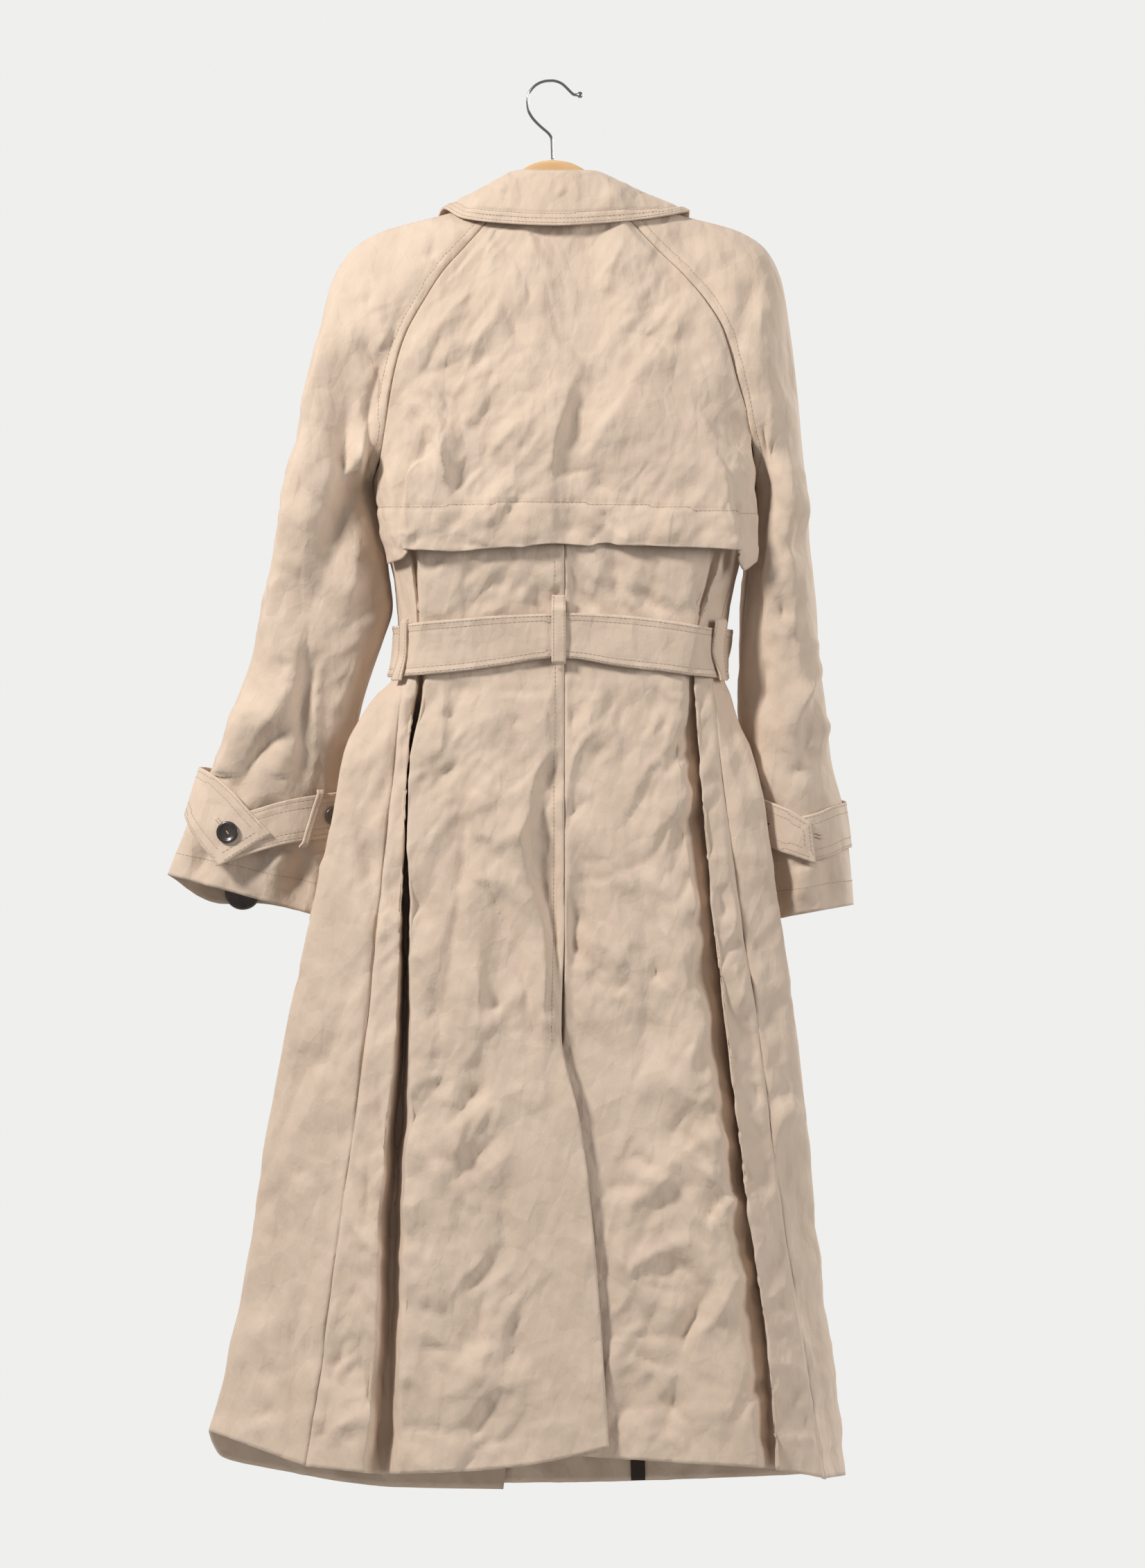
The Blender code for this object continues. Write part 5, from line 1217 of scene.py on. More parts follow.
# --- sleeves -------------------------------------------------------------------
LONG_FOLDS = {
    # the folds that run most of the arm's length: form, left reach, right reach, depth, (x, drop) down the fold
    "left": (
        ("trough", 13, 8, 3.6, ((-141, 222), (-163, 285), (-160, 335), (-151, 388))),
        ("crest", 8, 17, 2.4, ((-172, 212), (-201, 263), (-219, 350), (-241, 438), (-253, 519))),
        ("trough", 8, 5, 2.6, ((-217, 455), (-224, 540), (-229, 628))),
        ("trough", 12, 12, 2.2, ((-180, 250), (-189, 330), (-191, 420))),
    ),
    "right": (
        ("trough", 13, 9, 2.8, ((187, 285), (186, 360), (182, 440), (176, 520), (176, 600))),
        ("crest", 9, 12, 1.4, ((206, 250), (212, 360), (214, 470), (224, 590))),
    ),
}
SLEEVE_TABLE = {"left": list(SLEEVE_LEFT_CREASES) + list(LONG_FOLDS["left"]), "right": list(SLEEVE_RIGHT_CREASES) + list(LONG_FOLDS["right"])}
RING_FINE = np.concatenate([np.linspace(0, 0.12, 8)[:-1], np.linspace(0.12, 0.88, 36), np.linspace(0.88, 1, 8)[1:]])
sleeves = {}
for side in ("left", "right"):
    for face, facing in (("back", BACK), ("front", FRONT)):
        ring = sleeve_ring(side, face, RING_FINE)
        down = np.linalg.norm(np.diff(ring, axis=0), axis=-1).mean(axis=1)
        g = along_rows(ring, steps(down, FINE * 0.95))
        n = normals(g, facing)
        outward = np.array([-1.0 if side == "left" else 1.0, 0, 0])
        station = steps(down, FINE * 0.95)
        edge = outward * 0.8 + np.array([0, 0, -0.6]) * (1 - ease((station - 3.5) / 2))[:, None]
        edge /= np.linalg.norm(edge, axis=-1, keepdims=True)
        from_inner, from_outer = arc(g, 1), arc(g[:, ::-1], 1)[:, ::-1]
        w = (1 - ease(from_outer / 9))[..., None]
        n = n * (1 - w) + edge[:, None] * w
        below = ease((station - (ARMPIT - 0.6)) / 1.2)[:, None, None]
        w = (1 - ease(from_inner / 9))[..., None] * below
        n = n * (1 - w) - outward * w
        n /= np.linalg.norm(n, axis=-1, keepdims=True)
        x, y, drop = g[..., 0], g[..., 1], g[..., 2]
        sign = -1 if side == "left" else 1
        if face == "back":
            seen = ease((-n[..., 1] - 0.05) / 0.4)
            h = crease_field(x, drop, SLEEVE_TABLE[side]) * seen * 1.3
        else:
            seen = ease((n[..., 1] - 0.05) / 0.4)
            mirrored = [(form, right, left, depth * 0.85, [(px + sign * 6, pd + 9) for px, pd in pts]) for form, left, right, depth, pts in SLEEVE_TABLE["right" if side == "right" else "left"][::2]]
            rows = mirrored + scattered(41 if side == "left" else 42, 16, (x.min(), x.max(), 200, 720), 0.15 * -sign, 1.5, 110)
            h = crease_field(x, drop, rows) * seen
        seed = {"left": 50, "right": 60}[side] + (0 if face == "back" else 5)
        h += crumple(x, drop, seed, coarse=0.45, small=0.85, lean=0.2 * -sign) * (0.35 + 0.65 * seen) * (0.5 + 0.5 * ease((drop - 170) / 90))
        h *= ease(from_outer / 24) * 0.75 + 0.25
        # calm at the raglan seam and the underarm seam, and under the strap and the cuff's turned hem
        h *= ease(from_inner / 9) * 0.85 + 0.15
        strap_drop = np.where(x < 0, 655, 668)
        h *= 1 - 0.45 * np.exp(-(((drop - strap_drop) / 26) ** 2))
        h = np.where(abs(drop - strap_drop) < 34, np.minimum(h, 2.2), h)
        down_to_cuff = arc(g[::-1], 0)[::-1]
        h += 0.35 * (1 - ease((down_to_cuff - 24) / 3)) - 0.45 * np.exp(-(((down_to_cuff - 24.5) / 1.4) ** 2))
        h += seam_groove(from_outer) * 0.8
        h += seam_groove(from_inner) * np.where(station[:, None] < ARMPIT, 1.0, 0.8)
        on_raglan = 1 - ease((station[:, None] - 8.6) / 1.2)
        h += on_raglan * (0.28 * np.exp(-(((from_inner - 5) / 3.2) ** 2)) * np.sin(arc(g, 0) * 2 * math.pi / 6.5 + 0.9 * np.sin(arc(g, 0) / 19)) - 0.42 * np.exp(-(((from_inner - 9.3) / 1.3) ** 2)))
        if side == "left":       # the arm's inner side rests on the body below the armpit
            h += 2.4 * np.exp(-(((station[:, None] - 11) / 1.3) ** 2)) * (1 - ease(from_inner / 14))
        name = "sleeve_%s_%s" % (side, face)
        if face == "front":      # its allowances lie under the back half
            grid, n_t, h_t = tucked(g, n, h, -1)
            outer, real = cloth(name, grid, n_t, h_t)
            outer, real = outer[:, :-2], real[:, :-2]
        else:
            outer, real = cloth(name, g, n, h)
        sleeves[side, face] = (g, n, outer, real)
        # a row of stitching beside the raglan seam, and one round the cuff
        top = station < ARMPIT - 0.35
        place = lambda d: [int(np.argmin(abs(r - d))) for r in from_inner]
        for distance in ((9.0,) if face == "back" else (9.0,)):
            cols = place(distance)
            idx = np.arange(len(g))[top]
            dashes(np.array([outer[r, cols[r]] for r in idx]), np.array([real[r, cols[r]] for r in idx]))
        r = int(np.argmin(abs(down_to_cuff[:, g.shape[1] // 2] - 23)))
        dashes(outer[r], real[r])

# --- storm flap -------------------------------------------------------------------
FLAP = {
    # drop, then x and y of: fold edge, under the fold, side piece, its free edge
    "left": ((350, -130, -68, -129, -62, -139, -56, -154.5, -27), (388, -132, -70, -130, -62, -141, -54, -153, -19),
             (418, -131, -71, -128, -62, -136, -57, -146, -20)),
    "right": ((350, 152, -67, 157, -62, 168, -56, 179, -44), (388, 160, -67, 162, -60, 171, -54, 181.5, -45),
              (418, 165.5, -66, 163.5, -58, 172, -52, 182.3, -42)),
}
FLAP_HEM = {"left": (413.5, 415.5, 417.5, 418, 419, 427, 431), "right": (413.5, 413.5, 415, 419, 421, 437, 429)}
# the hem's small waves, left to right: x, drop below the plain line
FLAP_WAVES = ((-131, 0), (-104, 1.5), (-90, 2.4), (-60, 0.6), (-40, 0.2), (-27, 1.2), (-20, 0.0), (0, -0.8), (20, 0.4), (33, 1.4), (42, -0.8), (50, -1.2), (60, 1.0), (80, 0.4),
              (100, 0.8), (125, 0.4), (150, 0), (185, 0))


def flap_half(side):
    base = backs[side]
    n = normals(base, BACK)
    n = np.where(n[..., 1:2] > -0.3, [0, -1.0, 0], n)
    lift = 2.8 + 2.2 * (np.arange(9) / 8)[:, None, None] ** 2
    upper = base[:9] + n[:9] * lift
    upper[:, -1] += (0.1 if side == "left" else -0.1, 1.2, 0)
    rows = [r for r in upper]
    for drop in (352, 380, 400, None):
        drops = FLAP_HEM[side] if drop is None else [drop] * 7
        row = []
        for c in range(3):
            line = base[:, c]
            x, y = np.interp(drops[c], line[:, 2], line[:, 0]), np.interp(drops[c], line[:, 2], line[:, 1])
            if c == 0:
                x = CB_X
            row.append((x, y - 4.6 - 1.4 * max(0, (drops[c] - 330) / 88), drops[c]))
        for c in range(4):
            v = curve(FLAP[side], drops[c + 3])
            row.append((v[2 * c], v[2 * c + 1], drops[c + 3]))
        w = 0.62
        row[2] = (row[0][0] + (row[3][0] - row[0][0]) * w, row[2][1] - 1.5, row[2][2])
        rows.append(np.array(row))
    return np.array(rows)


halves = {side: flap_half(side) for side in ("left", "right")}
left, right = halves["left"][:, ::-1], halves["right"]
middle = (left[:, -1:] + right[:, :1]) / 2
flap = np.concatenate([left[:, :-1], middle, right[:, 1:]], axis=1)
flap = pull_back(flap, (1.5, 0, 0, 0))
g = fine(flap, FINE * 0.8)
x, drop = g[..., 0].copy(), g[..., 2].copy()
wave = one(FLAP_WAVES, x[-1])
share = ease((drop - 385) / 30)
g[..., 2] += wave[None, :] * share
drop = g[..., 2]
n = normals(g, BACK)
for _ in range(2):
    m = n.copy()
    m[1:-1] += n[:-2] + n[2:]
    m[:, 1:-1] += n[:, :-2] + n[:, 2:]
    n = m / np.linalg.norm(m, axis=-1, keepdims=True)
h = crease_field(x, drop, FLAP_CREASES)
h += crumple(x, drop, 17, coarse=0.7, small=1.15, lean=0.05) + 1.2 * ease((drop - 200) / 80)
from_left, from_right = arc(g, 1), arc(g[:, ::-1], 1)[:, ::-1]
at_raglan = 1 - ease((drop - 300) / 30)
edge = np.minimum(from_left, from_right)
h *= 1 - (1 - ease(edge / 12)) * 0.9 * at_raglan
h = np.maximum(h, -3.2 - 1.4 * ease((drop - 330) / 50))      # it doesn't press into the back below it
hem_stitch = np.interp(x, (-131, -40, 60, 185), (381, 376, 377, 386))
h += 0.5 * ease((drop - hem_stitch) / 2.0) - 0.9 * np.exp(-(((drop - hem_stitch) / 1.7) ** 2))
h += 0.5 * np.sin(x * 2 * math.pi / 7.5 + 1.1 * np.sin(x / 17)) * np.exp(-(((drop - hem_stitch + 3.5) / 4.0) ** 2))
outer, real = cloth("storm_flap", g, n, h)
rows = np.argmin(abs(drop - hem_stitch), axis=0)
cols = np.arange(g.shape[1])
inside = (x[rows, cols] > -154) & (x[rows, cols] < 182)
dashes(outer[rows, cols][inside], real[rows, cols][inside], width=0.9, proud=0.5)

# --- collar ------------------------------------------------------------------------
COLLAR = (
    # stand x y drop, fold x y drop, fall's edge x y drop
    (-41, 12, 120, -40, 18, 113, -88, 44, 172), (-50, 4, 107, -49, 8, 98, -104, 31, 135), (-52, -3, 104.5, -50, -2, 91, -98, -1, 112.0),
    (-42, -13, 106.5, -42, -12, 83.5, -80, -24, 121.5), (-25, -18, 108.5, -25, -19, 79.5, -45, -34, 126), (6, -19.5, 109, 5, -22, 80, 2, -39, 128),
    (36, -18, 108.5, 34, -19, 80, 45, -34, 126), (52, -13, 106, 50, -12, 84.5, 88, -24, 121.5), (61, -3, 104.5, 60, -2, 91, 123, -1, 114.5),
    (60, 4, 107, 59, 8, 98, 121, 31, 136), (51, 12, 120, 50, 18, 113, 98, 44, 172),
)
keys = np.array(COLLAR, float)
ring = curve(np.concatenate([np.arange(len(keys))[:, None], keys], axis=1), np.linspace(0, len(keys) - 1, 41))
stand, fold, fall = ring[:, 0:3], ring[:, 3:6], ring[:, 6:9]
along = np.gradient(fold, axis=0)
outward = np.stack([-along[:, 1], along[:, 0], 0 * along[:, 0]], axis=-1)
outward /= np.linalg.norm(outward, axis=-1, keepdims=True)
if (outward * (fold - [6, 0, 0]))[:, :2].sum() < 0:
    outward = -outward
inner, outer_fold = fold - outward * 3.0, fold + outward * 3.0 + [0, 0, 0.5]
mid = (outer_fold + fall) / 2 + outward * 2.0
collar = np.stack([stand, inner * 0.8 + stand * 0.2, (inner + outer_fold) / 2 - [0, 0, 1.6], outer_fold, mid, fall], axis=1)
g = fine(collar, FINE * 0.62)
sizes = np.linalg.norm(np.diff(collar, axis=1), axis=-1).max(axis=0)
cols_at = steps(sizes, FINE * 0.62)
turn = np.where(cols_at < 2, -1.0, 1.0)
away = np.stack([g[..., 0] - 6, g[..., 1], 0 * g[..., 0]], axis=-1) * turn[None, :, None]
n = normals(g, lambda q: away)
x, drop = g[..., 0], g[..., 2]
from_edge = arc(g[:, ::-1], 1)[:, ::-1]
run = arc(g, 0)
on_fall = ease((cols_at - 3) / 0.4)[None, :]
seen = on_fall * (g[..., 1] < 0)
h = crease_field(x, drop, COLLAR_CREASES) * seen
h += crumple(x, drop, 23, coarse=0.3, small=0.6) * on_fall
h *= ease(from_edge / 12) * 0.8 + 0.2
h = np.maximum(h, -0.6)
# the edge's stitched band puckers between its two rows
band = np.exp(-(((from_edge - 6.5) / 3.6) ** 2)) * on_fall
h += 0.6 * np.sin(run * 2 * math.pi / 4.6 + 0.8 * np.sin(run / 23)) * band - 0.9 * np.exp(-(((from_edge - 11.5) / 1.3) ** 2)) * on_fall
outer, real = cloth("collar", g, n, h)
for distance in (2.6, 6.6, 11.3):
    c = [int(np.argmin(abs(row - distance))) for row in from_edge]
    dashes(np.array([outer[r, c[r]] for r in range(len(g))]), np.array([real[r, c[r]] for r in range(len(g))]), length=2.2, gap=1.2)

# --- lapels --------------------------------------------------------------------------
LAPEL_WIDTH = {   # in lines of the front, from station 2 down
    "left": (1.25, 1.7, 2.15, 1.85, 1.3, 0.7),
    "right": (1.25, 1.7, 2.15, 1.9, 1.5, 1.05, 0.6, 0.25),
}
for side in ("left", "right"):
    whole = fronts[side]
    nf = normals(whole, FRONT)
    rows = slice(2, 2 + len(LAPEL_WIDTH[side]))
    at = np.stack([np.linspace(5, 5 - w, 4) for w in LAPEL_WIDTH[side]])
    base, facing = between(whole[rows], at), between(nf[rows], at)
    lift = 2.4 + np.linspace(0, 1, 4)[None, :] * (1.5 if side == "right" else 0.6)
    raised = base + facing * (lift + 0.3)[..., None]
    g = fine(raised, FINE)
    n = normals(g, FRONT)
    h = crumple(g[..., 0], g[..., 2], 71, coarse=0.2, small=0.25)
    h = np.maximum(h, -0.3)
    outer, real = cloth("lapel_" + side, g, n, h)
    c = g.shape[1] - 3
    dashes(outer[:, c], real[:, c])

# --- belt, keeper and loops ------------------------------------------------------------
panels = []
for side in ("left", "right"):
    for face, lines in (("back", backs), ("front", fronts)):
        at = (0, 0.5, 1, 1.5, 2, 2.5, 3, 4, 5, 5.5, 6) if face == "back" else (0, 1, 2, 3, 4, 5)
        whole = lines[side]
        panels.append(np.stack([curve(np.concatenate([np.arange(whole.shape[1])[:, None], row], axis=1), at) for row in whole]))
BELT_BACK = ((-142, 487, 532), (-125, 484, 531), (-81, 480, 527), (-42, 477, 521.5), (0, 475.5, 515.5), (12, 475, 515.5), (61, 477, 523), (105, 482, 528), (142, 488.5, 532.6), (160, 490, 534))
BELT_FRONT = ((-142, 487, 532), (-60, 491, 538), (0, 492, 539), (60, 492, 539), (160, 490, 534))


def belt_row(angle, across, out):
    """One point of the belt at `angle`, from its top edge (0) to its bottom edge (1)."""
    p = waist_point(panels, angle, 508, out)
    top, bottom = curve(BELT_BACK if p[1] < 0 else BELT_FRONT, p[0])
    blend = min(1.0, abs(p[1]) / 25)
    if blend < 1:
        other = curve(BELT_FRONT if p[1] < 0 else BELT_BACK, p[0])
        top, bottom = np.array([top, bottom]) * (0.5 + blend / 2) + other * (0.5 - blend / 2)
    drop = top + (bottom - top) * across
    lowest = waist_point(panels, angle, min(max(drop, 480), 534), out)
    return np.array([lowest[0], lowest[1], drop])


TURN = 2.4
BELT_OUT = 4.6
angles = np.linspace(70, -322, 66)
belt = []
for a in angles:
    over = TURN * min(1.0, max(0.0, (-250 - a) / 20))
    belt.append([belt_row(a, v, BELT_OUT + over) for v in (0, 0.5, 1)])
belt = np.array(belt)
belt[-1, 1] += (belt[-1, 1] - belt[-2, 1]) * 1.1    # pointed end
radial = lambda q: np.stack([q[..., 0] - WAIST_X, q[..., 1], 0 * q[..., 0]], axis=-1)
g = fine(belt, FINE * 0.8)
n = normals(g, radial)
run, across = arc(g, 0), arc(g, 1)
wide = across[:, -1:]
edge = np.minimum(across, wide - across)
h = 0.75 * swell(run / 26, across / 60, 80) + 1.6 * facets(run / 22 + across / 60, across / 30, 81)
h += 0.28 * np.sin(run * 2 * math.pi / 5.2 + 0.8 * np.sin(run / 21)) * np.exp(-(((edge - 2.2) / 1.8) ** 2))
h -= 0.5 * np.exp(-(((edge - 7.2) / 1.0) ** 2))
h = np.minimum(h, 0.75)
outer, real = cloth("belt", g, n, h)
for distance in (2.4, 7.0):
    for mirrored_row in (False, True):
        c = [int(np.argmin(abs((wide[r, 0] - across[r] if mirrored_row else across[r]) - distance))) for r in range(len(g))]
        dashes(np.array([outer[r, c[r]] for r in range(4, len(g) - 5)]), np.array([real[r, c[r]] for r in range(4, len(g) - 5)]))


def loop(name, first, last, rows):
    """A loop over the belt: rows of (drop, out) at angles first to last."""
    grid = np.array([[waist_point(panels, a, d, o) for a in (first, (first + last) / 2, last)] for d, o in rows])
    g = fine(grid, 1.5)
    n = normals(g, radial)
    across = arc(g, 1)
    edge = np.minimum(across, across[:, -1:] - across)
    h = -0.25 * np.exp(-(((edge - 1.9) / 0.6) ** 2))
    outer, real = cloth(name, g, n, h)
    c = across[len(g) // 2]
    for distance in (1.9, c[-1] - 1.9):
        k = int(np.argmin(abs(c - distance)))
        dashes(outer[:, k], real[:, k], length=2.2, gap=1.1, width=0.45)


BACK_LOOP = ((459, 2.8), (466, 4.0), (472, 7.1), (480, 7.1), (513, 7.1), (518, 7.1), (521, 4.2))
SIDE_LOOP = ((480, 5.4), (484.5, 7.2), (508, 7.1), (530, 7.1), (535, 7.1))
KEEPER = ((487, 9.5), (500, 9.5), (530, 9.5), (544, 9.9))
loop("belt_loop_centre", -97.4, -86.6, BACK_LOOP)
loop("belt_loop_left", -166.0, -160.5, SIDE_LOOP)
loop("belt_loop_right", -18.0, -11.5, [(d, o + 0.6) for d, o in SIDE_LOOP])
loop("belt_keeper", 52, 45, KEEPER)


# --- cuff straps --------------------------------------------------------------------------
def strap(name, centre, half_x, half_y, y0, slope, path, width, upright=False):
    """A band on a flattened tube, its tip cut square or upright. path rows: turn (degrees, -90 is the back), drop, out."""
    path = np.array(path, float)
    at = np.linspace(0, len(path) - 1, (len(path) - 1) * 3 + 1)
    turn, drop, out = curve(np.concatenate([np.arange(len(path))[:, None], path], axis=1), at).T

    def place(a, d, o):
        r = math.radians(a)
        cx = centre + slope * (d - 660)
        return np.array([cx + (half_x + o) * math.cos(r), y0 + (half_y + o) * math.sin(r), d])

    mid = np.array([place(a, d, o) for a, d, o in zip(turn, drop, out)])
    length = np.gradient(mid, axis=0)
    grid = []
    for i, (a, d, o) in enumerate(zip(turn, drop, out)):
        speed = np.linalg.norm(length[i, :2])
        da = np.gradient(turn)[i]
        way = np.array([speed * np.sign(da), length[i, 2]])
        way /= np.linalg.norm(way)
        row = []
        for v in (-1, 0, 1):
            dd = v * width / 2 * way[0] * np.sign(way[0])
            ds = -v * width / 2 * way[1] * np.sign(way[0])
            if upright:
                ds *= min(1.0, (len(turn) - 1 - i) / 3)
            turn_per_mm = abs(da) / max(speed, 1e-6)
            row.append(place(a + ds * turn_per_mm, d + dd, o))
        grid.append(row)
    grid = np.array(grid)
    facing = lambda q: np.stack([q[..., 0] - centre - slope * (q[..., 2] - 660), (q[..., 1] - y0) * 4, 0 * q[..., 0]], axis=-1)
    coarse_n = normals(grid, facing)
    g = fine(grid, FINE * 0.7)
    n = normals(g, facing)
    across, run = arc(g, 1), arc(g, 0)
    wide = across[:, -1:]
    edge = np.minimum(across, wide - across)
    tip = run[-1:, :] - run
    h = 0.4 * swell(run / 24, across / 40, 90) - 0.3 * np.exp(-(((edge - 3.2) / 0.8) ** 2)) - 0.3 * np.exp(-(((edge - 9.5) / 0.8) ** 2))
    outer, real = cloth(name, g, n, h)
    for distance in (3.2, 9.5):
        for mirrored_row in (False, True):
            line, facing_line = [], []
            for r in range(len(g)):
                a = wide[r, 0] - across[r] if mirrored_row else across[r]
                k = int(np.argmin(abs(a - distance)))
                if tip[r, k] > distance:
                    line.append(outer[r, k])
                    facing_line.append(real[r, k])
            dashes(np.array(line), np.array(facing_line))
        k0 = [int(np.argmin(abs(tip[:, c] - distance))) for c in range(g.shape[1])]
        keep = [c for c in range(g.shape[1]) if min(across[-1, c], across[-1, -1] - across[-1, c]) >= distance - 0.5]
        dashes(np.array([outer[k0[c], c] for c in keep]), np.array([real[k0[c], c] for c in keep]))
    return grid, coarse_n, outer, real


STRAP_LEFT = (
    # turn, drop, out: the under end, round by the body side and the front, over the outer edge to the tip
    (-122, 682, 4), (-100, 672, 4), (-70, 661, 4), (-35, 656, 4), (0, 654, 4), (45, 650, 4), (90, 645, 4), (135, 638, 4.5), (165, 633, 6), (190, 634, 7), (215, 645, 7), (238, 664, 7), (262, 687, 7),
)
STRAP_RIGHT = (
    # from the under end on the back, round by the outer edge and the front, over the body side to the tip
    (-84, 677, 4), (-62, 673, 4), (-30, 666, 4), (0, 664, 4), (45, 661, 4), (90, 658, 4), (135, 654, 4.5), (165, 653, 6), (195, 655, 7), (225, 661, 7), (254, 670, 7), (283, 681, 7),
)
grid_l, n_l, outer_l, real_l = strap("cuff_strap_left", -256.5, 67.5, 30, 16, -0.31, STRAP_LEFT, 41)
grid_r, n_r, outer_r, real_r = strap("cuff_strap_right", 220.5, 40.5, 50, 13, 0.13, STRAP_RIGHT, 40, upright=True)

# the cuff strap's own loop, down over the strap beside the under button
CUFF_LOOP = ((633, 4.4), (636.5, 7), (648, 7), (659, 7), (670, 7), (681, 7), (685, 4.4))    # drop, out
grid_loop = np.array([[[-256.5 - 0.31 * (d - 660) + (67.5 + o) * math.cos(math.radians(a)), 16 + (30 + o) * math.sin(math.radians(a)), d]
                       for a in (-58.3, -55.3, -52.3)] for d, o in CUFF_LOOP])
g = fine(grid_loop, 1.5)
n = normals(g, BACK)
across = arc(g, 1)
edge = np.minimum(across, across[:, -1:] - across)
outer, real = cloth("cuff_loop_left", g, n, -0.2 * np.exp(-(((edge - 1.7) / 0.6) ** 2)))
for distance in (1.7, across[len(g) // 2, -1] - 1.7):
    k = int(np.argmin(abs(across[len(g) // 2] - distance)))
    dashes(outer[:, k], real[:, k], length=2.2, gap=1.1, width=0.5)


# --- buttons ----------------------------------------------------------------------------------
BUTTON_PROFILE = (
    # share of the radius, share of the thickness: out from under, over the rim and down into the dish
    (0.0, 0.0), (0.78, 0.0), (0.93, 0.12), (1.0, 0.38), (1.0, 0.66), (0.965, 0.86), (0.90, 0.97), (0.82, 1.0), (0.74, 0.96), (0.67, 0.84), (0.60, 0.72), (0.50, 0.66), (0.30, 0.63), (0.0, 0.62),
)


def button(name, centre, way, radius, thick, profile=BUTTON_PROFILE, holes=2, turned=0.5):
    """A dished button with thread through its holes."""
    way = np.asarray(way, float) / np.linalg.norm(way)
    side = np.cross(way, [0, 0, 1.0])
    side /= np.linalg.norm(side)
    up = np.cross(side, way)
    sides = 64
    points, faces, index = [], [], []
    for share, height in profile:
        if share == 0:
            index.append([len(points)])
            points.append(centre + way * height * thick)
            continue
        index.append(list(range(len(points), len(points) + sides)))
        for i in range(sides):
            a = 2 * math.pi * i / sides
            points.append(centre + (side * math.cos(a) + up * math.sin(a)) * radius * share + way * height * thick)
    for lower, upper in zip(index[:-1], index[1:]):
        for i in range(sides):
            j = (i + 1) % sides
            if len(lower) == 1:
                faces.append((lower[0], upper[j], upper[i]))
            elif len(upper) == 1:
                faces.append((lower[i], lower[j], upper[0]))
            else:
                faces.append((lower[i], lower[j], upper[j], upper[i]))
    fix_winding(points, faces)
    put(name, np.array(points), faces, HORN, [name])
    if not holes:
        return
    # dark discs of painted shade in the holes, and the thread between them
    floor = profile[-1][1] * thick
    line = side * math.cos(turned) + up * math.sin(turned)
    for s in (-1, 1):
        spot = centre + line * s * radius * 0.22 + way * (floor + 0.12)
        ring = [spot + (side * math.cos(a) + up * math.sin(a)) * radius * 0.10 for a in np.linspace(0, 2 * math.pi, 13)[:-1]]
        HOLE_SHADE_DISCS.append(np.array(ring))
    a, b = centre - line * radius * 0.22 + way * (floor + 0.2), centre + line * radius * 0.22 + way * (floor + 0.2)
    STITCH_LINES.append((a, b, way))


HOLE_SHADE_DISCS, STITCH_LINES = [], []


def fix_winding(points, faces):
    """Turn the faces outward, judged on the world's points."""
    w = to_world(np.array(points))
    volume = 0.0
    for f in faces:
        for i in range(1, len(f) - 1):
            volume += np.dot(w[f[0]], np.cross(w[f[i]], w[f[i + 1]]))
    if volume < 0:
        faces[:] = [tuple(reversed(f)) for f in faces]


def on_band(grid, n, along_at, across_at, out):
    i, j = int(along_at), int(across_at)
    return grid[i, j] + n[i, j] * out, n[i, j]


at, way = on_band(grid_l, n_l, len(grid_l) - 3, 1, 0.3)
button("cuff_button_left", at, way, 10, 3.2, turned=2.2)
for rise in (-1.3, 1.3):
    lean = np.array([-0.62, 0, -0.78])
    start = at + lean * 8.5 + way * 0.6 + np.array([0.78, 0, -0.62]) * rise
    line = np.linspace(start, start + lean * 8.0, 8)
    dashes(line, np.repeat(way[None], 8, axis=0), length=1.3, gap=0.4, width=1.1, proud=0.5)
at, way = on_band(grid_l, n_l, 9, 1, 0.3)
button("cuff_button_left_under", at, way, 8.5, 3.0)
# the right strap has lost its button: an open buttonhole, worked in thread, and one prick in the tip, drawn as a small
# dark disc of painted shade
at, way = on_band(grid_r, n_r, 2, 1, 0.9)
for rise in (-1.6, 1.6):
    ends = np.array([at + [-5, -0.5, rise - 0.4], at + [5, -0.5, rise + 0.4]])
    dashes(np.linspace(ends[0], ends[1], 8), np.repeat(way[None], 8, axis=0), length=1.5, gap=0.4, width=1.3, proud=0.5)
at, way = on_band(grid_r, n_r, len(grid_r) - 6, 1, 0.7)
HOLE_SHADE_DISCS.append(np.array([at + [0.9 * math.cos(a), 0, 0.9 * math.sin(a)] for a in np.linspace(0, 2 * math.pi, 13)[:-1]]))

plan = np.stack([curve(np.concatenate([np.arange(6)[:, None], row], axis=1), (0, 1, 2, 3, 4, 5)) for row in fronts["right"]])


def on_front(x, drop):
    y = [np.interp(x, row[::-1, 0], row[::-1, 1]) for row in plan]
    d = [np.interp(x, row[::-1, 0], row[::-1, 2]) for row in plan]
    return np.array([x, np.interp(drop, d, y), drop])


for row, drop_at in enumerate((366, 436, 612)):
    for column_name, bx in (("left", -46), ("right", 66)):
        button("front_button_%s_%d" % (column_name, row + 1), on_front(bx, drop_at) + [0, 1.8, 0], (0, 1, -0.06 if drop_at < 600 else -0.1), 14, 4.0, turned=1.57)
DISH = ((0.0, 0.0), (0.80, 0.0), (0.94, 0.15), (1.0, 0.42), (1.0, 0.7), (0.965, 0.9), (0.91, 1.0), (0.84, 0.98), (0.76, 0.86), (0.66, 0.70), (0.5, 0.58), (0.28, 0.52), (0.0, 0.50))
button("cuff_inner_button_left", np.array([-277.0, 33.0, 724.5]), (0.0, -1.0, 0.25), 16.0, 4.0, profile=DISH, holes=0)

